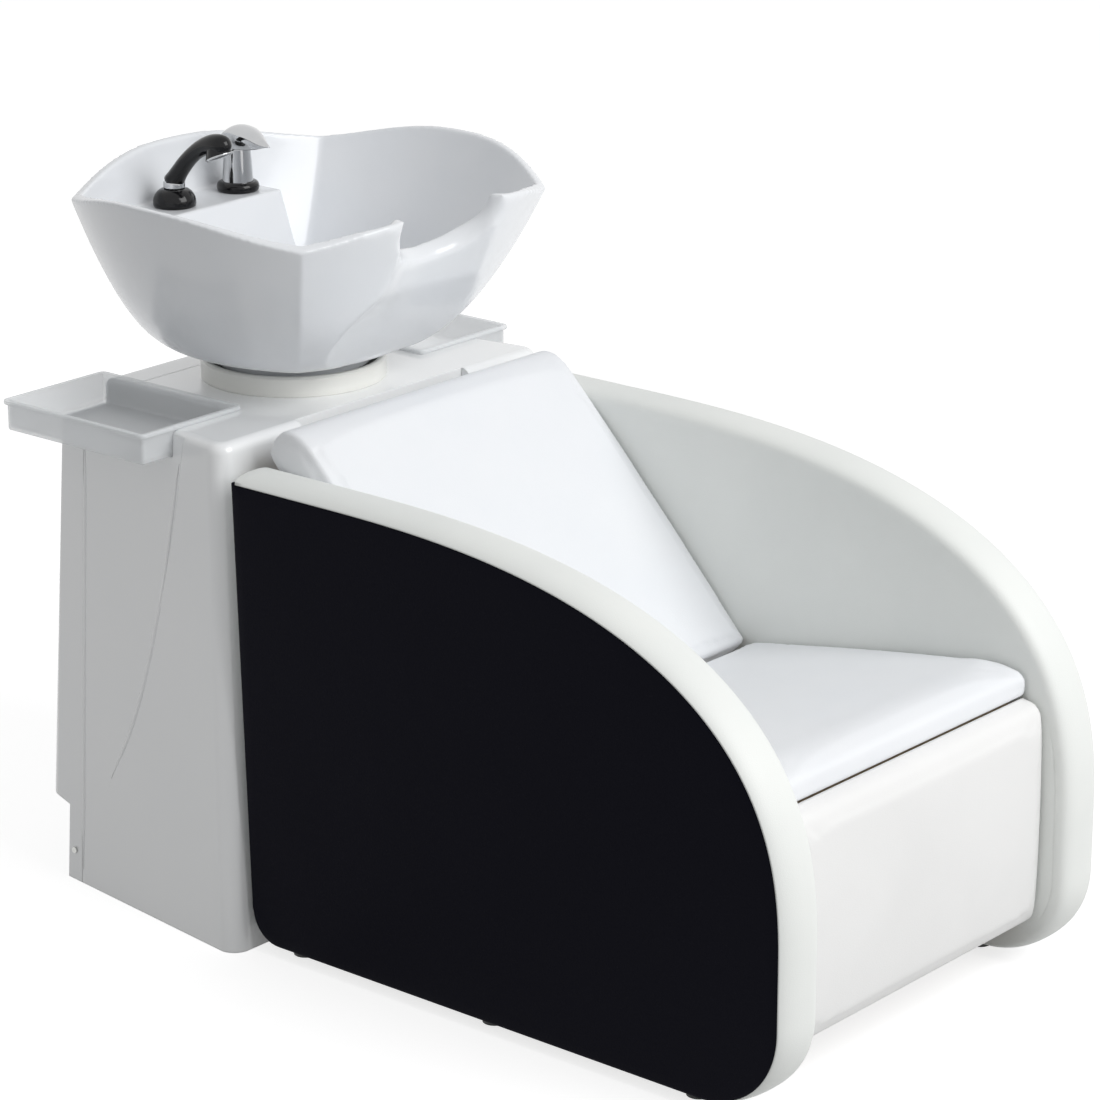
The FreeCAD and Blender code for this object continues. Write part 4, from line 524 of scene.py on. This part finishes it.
def put_on(piece, body, slot, *stands_for):
    """Dresses a finished piece and lets it ride on a body of the unit."""
    piece.data.materials.clear()
    piece.data.materials.append(FINISHES[slot])
    if stands_for:
        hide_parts(*stands_for)
    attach(piece, body)
    print(piece.name, len(piece.data.vertices), "points on", body)


# %% [markdown]
# Each side of the chair is a board wrapped in foam and white vinyl, with a black panel on its outer
# face. Seen from the side, its edge has a leaning rear, a level top, one long fall like a
# quarter of a squared ellipse, and a round toe. The same outline drawn in by different amounts gives all
# the rings of the roll, its seam and the panel. Each point also has a weight: 1 where the white roll
# swells over the edge, 0 along the foot and the rear, where the black panel reaches the edge.

# %% Outline of a chair side
PAD_LOW, PAD_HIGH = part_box("left_arm_pad")
SIDE_FALL_Y = -0.355            # the level top starts to fall here
SIDE_UPRIGHT = 0.214            # the front is upright below this
SIDE_POWER = 2.64               # of the squared ellipse between the two
SIDE_TOE = 0.120
SIDE_HEEL = 0.045
SIDE_CORNER = 0.006             # rounding of the upper rear corner
SIDE_REAR_LEAN = 0.0345
LEAST_HEEL = 0.004              # of the outlines that are drawn in
LEAST_CORNER = 0.002


def spread(start, end, count):
    """Evenly spaced values from start, stopping one step before the end."""
    return [start + (end - start) * index / count for index in range(count)]


def side_outline(inset):
    """Points (y, z, weight of the roll) round a chair side, drawn in by an inset."""
    top = PAD_HIGH.z - inset
    low = PAD_LOW.z + inset
    front = PAD_LOW.y + inset
    toe = SIDE_TOE - inset
    heel = max(SIDE_HEEL - inset, LEAST_HEEL)
    corner = max(SIDE_CORNER - inset, LEAST_CORNER)

    def rear(z):
        return PAD_HIGH.y - SIDE_REAR_LEAN * (PAD_HIGH.z - z) - inset

    points = [(rear(z), z, 0.0) for z in spread(low + heel, top - corner, 24)]
    for turn in spread(0, 1, 8):
        angle = turn * math.pi / 2
        y = rear(top) - corner * (1 - math.cos(angle))
        points.append((y, top - corner * (1 - math.sin(angle)), turn))
    points += [(y, top, 1.0) for y in spread(rear(top) - corner, SIDE_FALL_Y, 10)]
    for angle in spread(math.pi / 2, 0, 150):
        points.append((
            SIDE_FALL_Y + (front - SIDE_FALL_Y) * math.cos(angle) ** (2 / SIDE_POWER),
            SIDE_UPRIGHT + (top - SIDE_UPRIGHT) * math.sin(angle) ** (2 / SIDE_POWER),
            1.0,
        ))
    points += [(front, z, 1.0) for z in spread(SIDE_UPRIGHT, low + toe, 30)]
    for turn in spread(0, 1, 30):
        angle = math.pi + turn * math.pi / 2
        y = front + toe + toe * math.cos(angle)
        points.append((y, low + toe + toe * math.sin(angle), 1 - turn * turn))
    points += [(y, low, 0.0) for y in spread(front + toe, rear(low) - heel, 40)]
    for angle in spread(-math.pi / 2, 0, 12):
        y = rear(low) - heel + heel * math.cos(angle)
        points.append((y, low + heel + heel * math.sin(angle), 0.0))
    return points


print("side outline:", len(side_outline(0.0)), "points")

# %% [markdown]
# The roll is fullest in the middle of its width. From there it falls like a wide ellipse to the crisp
# edge of the black panel, and on the other side it turns over to the inner face. Cloth could swell it
# too, but the picture shows it smooth and taut, and a formula keeps its edge crisp. Each row below has
# an inset and an x for the roll, and the same for the plain edge along the foot and the rear.

# %% Profiles of the roll and the panel
INNER_X = PAD_LOW.x
OUTER_X = PAD_HIGH.x
MIDDLE_X = (INNER_X + OUTER_X) / 2
HALF_THICKNESS = (OUTER_X - INNER_X) / 2
PANEL_INSET = 0.0068
PANEL_DEPTH = 0.008
PANEL_BACK_X = OUTER_X - PANEL_DEPTH
ROLL_CROWN = 0.004
ROLL_TURN = 0.016               # depth over which it turns to the inner face
ROLL_SQUARE = 3.0               # superellipse power of that turn
ELLIPSE_HALF = 0.040            # half axis of the outer fall, past the panel's edge
FALL_SHARES = (1.0, 0.96, 0.9, 0.82, 0.72, 0.6, 0.45, 0.3, 0.15, 0.0)
SEAM = [
    # depth past the turn, share of the seam's depth
    (0.0008, 0.4), (0.0016, 1.0), (0.0024, 0.8), (0.0034, 0.3),
    (0.0060, 0.0), (0.0200, 0.0), (0.0500, 0.0),
]

ellipse_edge = math.sqrt(1 - (HALF_THICKNESS / ELLIPSE_HALF) ** 2)
ellipse_height = (PANEL_INSET + ROLL_CROWN) / (1 - ellipse_edge)
pad_profile = [
    ((PANEL_INSET + 0.0030, PANEL_BACK_X), (0.0030, PANEL_BACK_X)),
    ((PANEL_INSET + 0.0004, OUTER_X - 0.0050), (0.0010, PANEL_BACK_X)),
    ((PANEL_INSET + 0.0001, OUTER_X - 0.0012), (0.0003, PANEL_BACK_X - 0.0002)),
]
for share in FALL_SHARES:
    across = HALF_THICKNESS * share
    fall = ellipse_height * (1 - math.sqrt(1 - (across / ELLIPSE_HALF) ** 2)) - ROLL_CROWN
    plain_x = min(MIDDLE_X + across, PANEL_BACK_X - 0.0004)
    pad_profile.append(((fall, MIDDLE_X + across), (0.0, plain_x)))
for degrees in range(6, 91, 6):
    turn = math.radians(degrees)
    across = HALF_THICKNESS * math.sin(turn) ** (2 / ROLL_SQUARE)
    fall = (ROLL_TURN + ROLL_CROWN) * (1 - math.cos(turn) ** (2 / ROLL_SQUARE)) - ROLL_CROWN
    pad_profile.append(((fall, MIDDLE_X - across), (fall / 3 + ROLL_CROWN / 3, MIDDLE_X - across)))
seam_start = len(pad_profile)
for past, _ in SEAM:
    pad_profile.append(((ROLL_TURN + past, INNER_X), (ROLL_TURN + past, INNER_X)))
panel_profile = [
    ((PANEL_INSET + 0.0006, PANEL_BACK_X + 0.0005), (0.0006, PANEL_BACK_X + 0.0005)),
    ((PANEL_INSET + 0.0002, OUTER_X - 0.0030), (0.0000, OUTER_X - 0.0050)),
    ((PANEL_INSET + 0.0005, OUTER_X - 0.0012), (0.0003, OUTER_X - 0.0028)),
    ((PANEL_INSET + 0.0016, OUTER_X - 0.0002), (0.0016, OUTER_X - 0.0008)),
    ((PANEL_INSET + 0.0050, OUTER_X + 0.0004), (0.0050, OUTER_X + 0.0002)),
    ((PANEL_INSET + 0.0180, OUTER_X + 0.0010), (0.0180, OUTER_X + 0.0009)),
    ((PANEL_INSET + 0.0600, OUTER_X + 0.0011), (0.0600, OUTER_X + 0.0011)),
]
print("rows of the roll:", len(pad_profile), "and of the panel:", len(panel_profile))

# %% [markdown]
# A seam runs where the roll has turned to the inner face, and low at the front its stitches pull small
# dimples. They are pressed into the rings before the skin is made, so that they are real in the mesh.

# %% Chair sides
SEAM_DEPTH = 0.0012
SEAM_TOP = 0.36
SEAM_FADE = 0.05                # height over which the seam fades out
STITCH_PITCH = 0.009
STITCH_LEVEL = 0.45             # middle of the dimples, as a share of the seam's depth
STITCH_SWING = 0.55


def side_rings(profile, side):
    """Rings of a chair side through a profile. The side is 1 on the sitter's left, -1 on the right."""
    rings = []
    for (roll_inset, roll_x), (plain_inset, plain_x) in profile:
        ring = []
        outlines = zip(side_outline(roll_inset), side_outline(plain_inset))
        for (y1, z1, weight), (y0, z0, weight) in outlines:
            x = plain_x + (roll_x - plain_x) * weight
            ring.append((side * x, y0 + (y1 - y0) * weight, z0 + (z1 - z0) * weight))
        rings.append(ring)
    return rings


def sew(rings, side):
    """Presses the seam into the inner face of a side, deeper at each stitch and fading out upwards."""
    for ring, (_, share) in zip(rings[seam_start:], SEAM):
        run = 0.0
        for index, (x, y, z) in enumerate(ring):
            run += (Vector(ring[index]) - Vector(ring[index - 1])).length
            if y < SIDE_FALL_Y and PAD_LOW.z + SIDE_TOE / 2 < z < SEAM_TOP:
                fade = min(1.0, (SEAM_TOP - z) / SEAM_FADE)
                stitch = STITCH_LEVEL + STITCH_SWING * math.cos(2 * math.pi * run / STITCH_PITCH)
                ring[index] = (x + side * SEAM_DEPTH * share * stitch * fade, y, z)


for side, name in ((1, "left"), (-1, "right")):
    roll_rings = side_rings(pad_profile, side)
    sew(roll_rings, side)
    pad = skin(name + "_side_roll", roll_rings)
    put_on(pad, CHAIR, "white_vinyl", name + "_arm_pad")
    panel = skin(name + "_side_panel", side_rings(panel_profile, side))
    put_on(panel, CHAIR, "black_vinyl", name + "_arm_panel")

# %% [markdown]
# A foam piece is softer than its CAD solid, and a cloth needs small even faces. A voxel remesh gives
# those, and a few passes of smoothing take the edges off. Smoothing alone would only shrink a cushion,
# so it is then drawn in a little and blown up as cloth with pressure inside, held where it is glued to
# its board. The swelling is capped, so that no cushion presses into its neighbours.

# %% Tools for foam
WELD_GAP = 0.00001
PRESSURE = 4.0
CLOTH_QUALITY = 4
LAST_FRAME = 12
DRAW_IN = 0.0012
SWELL_CAP = 0.0025
GLUE_DEPTH = 0.006              # of the points that may be glued, from the lowest one
GLUE_FACING = -0.3              # and how far their normals turn to the board


def even_copy(name, node, voxel, smoothing):
    """A copy of a CAD node's mesh with even faces and softened edges."""
    piece = bpy.data.objects.new(name, nodes[node].data.copy())
    scene.collection.objects.link(piece)
    weld = piece.modifiers.new("weld", "WELD")
    weld.merge_threshold = WELD_GAP
    even = piece.modifiers.new("even", "REMESH")
    even.mode = "VOXEL"
    even.voxel_size = voxel
    even.use_smooth_shade = True
    soft = piece.modifiers.new("soft", "SMOOTH")
    soft.factor = 0.5
    soft.iterations = smoothing
    settle(piece)
    piece.data.shade_smooth()
    return piece


def blow_up(piece, out):
    """Swells a cushion as cloth, with the face glued that is turned away from the way out."""
    mesh = piece.data
    start = [vertex.co.copy() for vertex in mesh.vertices]
    glue_top = min(place.dot(out) for place in start) + GLUE_DEPTH
    glued = [vertex.co.dot(out) < glue_top and vertex.normal.dot(out) < GLUE_FACING
             for vertex in mesh.vertices]
    for vertex, fixed in zip(mesh.vertices, glued):
        if not fixed:
            vertex.co -= vertex.normal * DRAW_IN
    group = piece.vertex_groups.new(name="glued")
    group.add([index for index, fixed in enumerate(glued) if fixed], 1.0, "REPLACE")
    cloth = piece.modifiers.new("swell", "CLOTH")
    cloth.point_cache.frame_end = LAST_FRAME
    cloth.settings.quality = CLOTH_QUALITY
    cloth.settings.vertex_group_mass = "glued"
    cloth.settings.use_pressure = True
    cloth.settings.uniform_pressure_force = PRESSURE
    cloth.settings.effector_weights.gravity = 0.0
    for number in range(1, LAST_FRAME + 1):
        scene.frame_set(number)
    settle(piece)
    scene.frame_set(1)
    piece.vertex_groups.clear()
    for vertex, origin in zip(piece.data.vertices, start):
        move = vertex.co - origin
        if move.length > SWELL_CAP:
            vertex.co = origin + move * (SWELL_CAP / move.length)
    piece.data.shade_smooth()


print("foam swells for", LAST_FRAME, "frames, by", SWELL_CAP, "m at most")

# %% [markdown]
# The seat, the back and the apron are foam under a stretched cover. Each lies on a board of its own, so
# each has its own way out. The cover of the apron meets the seat in a fine line, but smoothing has
# lowered its top edge, so that edge is lifted again.

# %% Blown-up cushions
CUSHION_VOXEL = 0.005
CUSHION_SMOOTHING = 4
SEAT_SLOPE = math.radians(9.6)
BACK_ANGLE = math.radians(46.5)
CUSHIONS = {
    # piece: CAD node, finish, way out of its board
    "seat_pad": ("seat_cushion", "seat_vinyl", (0, math.sin(SEAT_SLOPE), math.cos(SEAT_SLOPE))),
    "back_pad": ("back_cushion", "seat_vinyl", (0, -math.sin(BACK_ANGLE), math.cos(BACK_ANGLE))),
    "apron_pad": ("front_apron", "apron_vinyl", (0, -1, 0)),
}
APRON_LIFT = 0.0018
APRON_LIFT_DEPTH = 0.030


def lift_top(piece, lift, depth):
    """Moves the top of a piece up by a lift that fades out over a depth."""
    top = max(vertex.co.z for vertex in piece.data.vertices)
    for vertex in piece.data.vertices:
        share = max(0.0, 1 - (top - vertex.co.z) / depth)
        vertex.co.z += lift * share * share * (3 - 2 * share)


for name, (node, slot, out) in CUSHIONS.items():
    cushion = even_copy(name, node, CUSHION_VOXEL, CUSHION_SMOOTHING)
    blow_up(cushion, Vector(out))
    if name == "apron_pad":
        lift_top(cushion, APRON_LIFT, APRON_LIFT_DEPTH)
    put_on(cushion, CHAIR, slot, node)

# %% [markdown]
# The basin is slip-cast and glazed, so it has no sharp edge anywhere. Fillets would have to follow its
# bowed rim and the notch, so instead an even copy of its solid is smoothed until the rim is round, once
# more round the neck notch, where the glaze lies in a broad roll, and most of all at the two lobes
# beside the notch, which end in blunt round tips.

# %% Basin
BASIN_VOXEL = 0.0025
BASIN_SMOOTHING = 12
BASIN_LOW, BASIN_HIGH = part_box("basin")
NECK_HALF = 0.165               # half width of the soft part round the notch
NECK_REACH = 0.150              # how far it goes in from the front
NECK_DROP = 0.210               # and down from the rim
NECK_FADE = 0.03
NECK_PASSES = 110
LOBE_MIDDLE = 0.083             # half width of the notch at the rim
LOBE_REACH = 0.045              # of the softest part, to both sides of that
LOBE_DROP = 0.065               # and down from the rim
LOBE_FADE = 0.02
LOBE_PASSES = 260
FACES_KEPT = 0.35               # share of the faces that are left at the end

basin = even_copy("basin_bowl", "basin", BASIN_VOXEL, BASIN_SMOOTHING)
neck = basin.vertex_groups.new(name="neck")
lobes = basin.vertex_groups.new(name="lobes")
for vertex in basin.data.vertices:
    x, y, z = vertex.co
    inside = min(NECK_HALF - abs(x), BASIN_LOW.y + NECK_REACH - y, z - BASIN_HIGH.z + NECK_DROP)
    near_tip = min(LOBE_REACH - abs(abs(x) - LOBE_MIDDLE), z - BASIN_HIGH.z + LOBE_DROP)
    if inside > 0:
        neck.add([vertex.index], min(1.0, inside / NECK_FADE), "REPLACE")
    if inside > 0 and near_tip > 0:
        lobes.add([vertex.index], min(1.0, near_tip / LOBE_FADE), "REPLACE")
for group, passes in ((neck, NECK_PASSES), (lobes, LOBE_PASSES)):
    roll = basin.modifiers.new(group.name, "SMOOTH")
    roll.factor = 0.5
    roll.iterations = passes
    roll.vertex_group = group.name
lighter = basin.modifiers.new("lighter", "DECIMATE")
lighter.ratio = FACES_KEPT
settle(basin)
basin.vertex_groups.clear()
basin.data.shade_smooth()
put_on(basin, "basin_unit", "ceramic_white", "basin")

# %% [markdown]
# A tray is a thin open box with rounded corners and a lip that hangs on the cabinet. A solidified box
# would have the same wall all over, so its rings are drawn instead: rounded rectangles that go out under
# the floor, up the outside, over the lip and down again on the inside.

# %% Trays
TRAY_LIP = 0.005
TRAY_LIP_HEIGHT = 0.006
TRAY_WALL = 0.003
TRAY_CORNER = 0.010
LEAST_RADIUS = 0.002            # of the inner corners


def rounded_rectangle(low, high, inset, z):
    """A ring of points round a tray's box with round corners, drawn in by an inset."""
    ring = []
    radius = max(TRAY_CORNER - inset, LEAST_RADIUS)
    x0, x1 = low.x + inset + radius, high.x - inset - radius
    y0, y1 = low.y + inset + radius, high.y - inset - radius
    for x, y, start in ((x1, y1, 0), (x0, y1, 90), (x0, y0, 180), (x1, y0, 270)):
        for degrees in range(start, start + 91, 15):
            turn = math.radians(degrees)
            ring.append((x + radius * math.cos(turn), y + radius * math.sin(turn), z))
    return ring


for name in ("left_tray", "right_tray"):
    low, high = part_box(name)
    lip = high.z - TRAY_LIP_HEIGHT
    inner = TRAY_LIP + TRAY_WALL
    tray_profile = [
        (TRAY_LIP + 0.004, low.z), (TRAY_LIP + 0.0012, low.z + 0.0012), (TRAY_LIP, low.z + 0.004),
        (TRAY_LIP, lip - 0.0006), (TRAY_LIP - 0.0006, lip), (0.0008, lip), (0.0, lip + 0.0008),
        (0.0, high.z - 0.0015), (0.0005, high.z - 0.0004), (0.0016, high.z), (inner - 0.0012, high.z),
        (inner - 0.0002, high.z - 0.0005), (inner, high.z - 0.0015), (inner, low.z + TRAY_WALL + 0.005),
        (inner + 0.0015, low.z + TRAY_WALL + 0.0015), (inner + 0.005, low.z + TRAY_WALL),
    ]
    tray = skin(name + "_box", [rounded_rectangle(low, high, inset, z) for inset, z in tray_profile])
    put_on(tray, name, "tray_frosted", name)

# %% [markdown]
# The lever is a leaf of chrome: a slightly crowned top with a crisp ridge round it, upright sides below
# the ridge, and a hollow underneath for the ball that it turns on. Its rings stand across it, and
# their sizes come from smooth curves through a few measured places in front of the axis. That is easier
# to correct than a sculpted mesh. The tables are in millimetres.

# %% Lever
MM = 0.001
joints = {joint["name"]: joint for joint in record["behaviour"]["joints"]}
BALL = Vector(joints["lever_lift"]["pos_m"])
BALL_ROOM = 19.5                # radius of the hollow round the ball
LEVER_HALF = [(-23, 3), (-20, 11), (-12, 19), (0, 23), (12, 23), (25, 20), (38, 15), (50, 9),
              (58, 4.5), (62, 1.5)]
LEVER_TOP = [(-23, 14), (-18, 22), (-10, 30), (0, 34.5), (8, 35), (20, 33), (32, 29), (45, 22.5),
             (55, 16.5), (62, 12)]
LEVER_FOOT = [(-23, 5), (0, 4.5), (30, 5), (45, 7), (55, 9.5), (62, 11)]
LEVER_RIDGE = 5.5               # ridge below the middle of the top
LEVER_EDGE = 1.5                # breadth of the ridge
LEVER_PLACES = [-23, -22, -20, -17, -13, -9, -4, 0, 4, 8, 12, 17, 22, 27, 32, 37, 42, 46, 50, 54, 57,
                59.5, 61, 62]


def lever_ring(place):
    """One section across the lever, at a place in front of its axis."""
    half = smooth_through(LEVER_HALF, place)
    top = smooth_through(LEVER_TOP, place)
    foot = smooth_through(LEVER_FOOT, place)
    ridge = top - min(LEVER_RIDGE, 0.45 * (top - foot), half)
    edge = min(LEVER_EDGE, 0.3 * half)
    section = []
    for index in range(15):
        share = -1 + index / 7
        section.append((share * (half - edge / 2), top - (top - ridge) * share * share))
    side = [(half - 0.1 * edge, ridge - 0.5 * edge), (half, ridge - 1.2 * edge),
            (half - 0.5 * edge, foot + edge), (half - 1.5 * edge, foot)]
    section += [(x, max(z, foot)) for x, z in side]
    under = half - 2 * edge
    for index in range(11):
        x = under * (1 - index / 5)
        room = BALL_ROOM ** 2 - place ** 2 - x ** 2
        section.append((x, max(foot, math.sqrt(room) if room > 0 else 0.0)))
    section += [(-x, max(z, foot)) for x, z in reversed(side)]
    return [BALL + Vector((x, -place, z)) * MM for x, z in section]


lever = skin("lever_leaf", [lever_ring(place) for place in LEVER_PLACES])
put_on(lever, "lever", "chrome", "mixer_lever")

# %% [markdown]
# The black ring, the dock and the band are turned about upright axes, so a profile of radius and height
# in millimetres is all that they need. The dock keeps the bore that the hand shower's spigot stands in,
# and the tail below the deck.

# %% Ring, dock and band


def middle_of(node):
    low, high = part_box(node)
    return (low + high) / 2


def turned_on(node, name, profile, z, loop=False):
    """A piece turned about the middle of a CAD node, from (radius, height above z) in millimetres."""
    axis = middle_of(node)
    raised = [(radius * MM, z + height * MM) for radius, height in profile]
    return turned(name, axis.x, axis.y, raised, loop)


DECK_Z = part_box("mixer_ring")[0].z
RING_PROFILE = [(15.2, 0.3), (27, 0), (28.8, 1.2), (29.7, 4), (29.7, 7), (28.9, 10), (27.2, 12.4),
                (24.5, 13.7), (21.7, 14), (15.2, 13.8)]
ring = turned_on("mixer_ring", "mixer_collar", RING_PROFILE, DECK_Z, loop=True)
put_on(ring, "basin_unit", "black_gloss", "mixer_ring")

tail = (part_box("shower_dock")[0].z - DECK_Z) / MM
DOCK_PROFILE = [(11.2, tail), (12, tail + 0.8), (12, -0.2), (12.4, 0), (27.5, 0), (29.2, 1.2),
                (29.8, 4), (29.6, 8), (28.6, 12.5), (26.6, 16.8), (23.6, 20.6), (20, 23.2),
                (16.6, 24.6), (13.5, 25), (10.6, 24.8), (10.2, 24), (10.2, 3), (9.8, 2.8)]
dock = turned_on("shower_dock", "dock_dome", DOCK_PROFILE, DECK_Z)
put_on(dock, "basin_unit", "black_gloss", "shower_dock")

band_low, band_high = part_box("shower_band")
BAND_PROFILE = [(9.3, 0), (9.9, 0.8), (9.9, 20.2), (10.2, 20.4), (13.8, 20.4), (14.7, 21), (14.9, 22),
                (14.9, 28.2), (14.6, 29), (13.8, 29.4)]
band = turned_on("shower_dock", "chrome_band", BAND_PROFILE, band_low.z)
put_on(band, "handset", "chrome", "shower_band")

# %% [markdown]
# The handle rises from the band and bends forward like half a parabola. It swells at the band and at the
# head, and its round nose goes straight on. A curve with a bevel has no such changes of size without
# more handles, so its rings are drawn along the parabola.

# %% Handle of the hand shower
HANDLE_REACH = 88.0             # middle of the head in front of the dock's axis, in millimetres
HANDLE_RISE = 63.0
HANDLE_STEPS = 40
HANDLE_SIZE = [(0, 14.4), (0.05, 13.2), (0.11, 12.3), (0.25, 11.6), (0.46, 11.2), (0.65, 12.0),
               (0.8, 13.4), (0.92, 14.5), (1, 14.8)]
NOSE_SIZE = [(4, 14.7), (9, 13.7), (13, 11.6), (16.2, 8.4), (18.2, 5.2), (19.2, 2.2)]
CIRCLE_STEPS = 40
dock_axis = middle_of("shower_dock")
handle_foot = Vector((dock_axis.x, dock_axis.y, band_high.z))


def circle(middle, way, radius):
    """A ring of points round a way in the plane of symmetry of the hand shower."""
    beside = Vector((1, 0, 0))
    over = way.cross(beside)
    angles = full_turn(CIRCLE_STEPS)
    return [middle + (beside * math.cos(a) + over * math.sin(a)) * radius for a in angles]


handle_rings = []
for step in range(HANDLE_STEPS + 1):
    u = step / HANDLE_STEPS
    middle = handle_foot + Vector((0, -HANDLE_REACH * u, HANDLE_RISE * u * (2 - u))) * MM
    way = Vector((0, -HANDLE_REACH, HANDLE_RISE * 2 * (1 - u))).normalized()
    handle_rings.append(circle(middle, way, smooth_through(HANDLE_SIZE, u) * MM))
head = handle_foot + Vector((0, -HANDLE_REACH, HANDLE_RISE)) * MM
for beyond, size in NOSE_SIZE:
    handle_rings.append(circle(head + Vector((0, -beyond, 0)) * MM, Vector((0, -1, 0)), size * MM))
put_on(skin("shower_grip", handle_rings), "handset", "black_gloss", "shower_handle")

# %% [markdown]
# The spray housing hangs under the head, square to the spray, with a chrome rim and a black disc in it.
# All three are turned about the way of the spray, which leans, so they share the handle's circles.

# %% Spray
SPRAY_MIDDLE = (72.0, 48.0)     # y and z above the band of its rim's middle, in millimetres
SPRAY_WAY = Vector((0, -0.41, -0.912))
HOUSING = [(11, -20), (12.6, -15), (15, -9.5), (17.4, -4.5), (18.9, -1), (19.2, 0.2), (18.6, 0.6)]
SPRAY_RIM = [(16.8, 0.4), (19.6, 0.2), (20.1, 1.0), (19.8, 2.2), (18.6, 2.8), (17.2, 2.2), (16.8, 1.2)]
SPRAY_DISC = [(16.6, -0.6), (16.7, 1.0), (15.6, 1.7), (12, 2.0)]
spray_place = Vector((dock_axis.x, SPRAY_MIDDLE[0] * MM, handle_foot.z + SPRAY_MIDDLE[1] * MM))


def spray_rings(profile):
    """Rings from (radius, place along the spray's way) in millimetres."""
    return [circle(spray_place + SPRAY_WAY * (along * MM), SPRAY_WAY, size * MM)
            for size, along in profile]


put_on(skin("spray_housing", spray_rings(HOUSING)), "handset", "black_gloss")
put_on(skin("spray_rim", spray_rings(SPRAY_RIM), loop=True), "handset", "chrome", "spray_ring")
put_on(skin("spray_disc", spray_rings(SPRAY_DISC)), "handset", "black_plastic", "spray_plate")

# %% [markdown]
# Two slim beads mark each flank of the plinth: one follows the crease, the other the edge of the shell
# in front of the rear cover. A bump could draw them, but it would be lost in the mesh. Their points
# start on the tapered plane of the flank and are then drawn to the nearest point of the moulded shell.

# %% Beads of the plinth
shell = nodes["cabinet_shell"]
FLANK_HALF = 0.3418             # half width at the floor, level with the basin's axis
FLANK_TAPER = 0.141             # loss of that width per metre to the rear
FLANK_DRAFT = 0.065             # and per metre of height
CREASE = [(0.169, 0.0485), (0.2535, 0.0046), (0.353, -0.0304), (0.467, -0.057), (0.5826, -0.0758),
          (0.640, -0.086)]
SHELL_EDGE = [(0.020, 0.1085), (0.632, 0.1215)]
BEAD_WIDTH = 0.0060
BEAD_RISE = 0.0022
BEAD_STEPS = 60
BEAD_SIDES = 12
BEAD_TIP = 0.15                 # size at its ends, as a share of the full size
BEAD_ENDS = 8                   # it thins over this fraction of its length, at each end


def bead(name, curve, side):
    """A bead on a flank along a curve of (z, y) pairs, thin at both ends."""
    out = Vector((side, FLANK_TAPER, FLANK_DRAFT)).normalized()
    places = []
    for step in range(BEAD_STEPS + 1):
        z = curve[0][0] + (curve[-1][0] - curve[0][0]) * step / BEAD_STEPS
        y = smooth_through(curve, z)
        guess = Vector((side * (FLANK_HALF - FLANK_TAPER * y - FLANK_DRAFT * z), y, z))
        places.append(shell.closest_point_on_mesh(guess)[1])
    rings = []
    for step, place in enumerate(places):
        along = (places[min(step + 1, BEAD_STEPS)] - places[max(step - 1, 0)]).normalized()
        across = out.cross(along)
        from_end = BEAD_ENDS * min(step, BEAD_STEPS - step) / BEAD_STEPS
        size = BEAD_TIP + (1 - BEAD_TIP) * min(1.0, from_end)
        rings.append([
            place + (across * math.cos(a) * BEAD_WIDTH / 2 + out * math.sin(a) * BEAD_RISE) * size
            for a in full_turn(BEAD_SIDES)])
    put_on(skin(name, rings), CHAIR, "cabinet_gloss")


for side, name in ((1, "left"), (-1, "right")):
    bead(name + "_crease_bead", CREASE, side)
    bead(name + "_shell_bead", SHELL_EDGE, side)
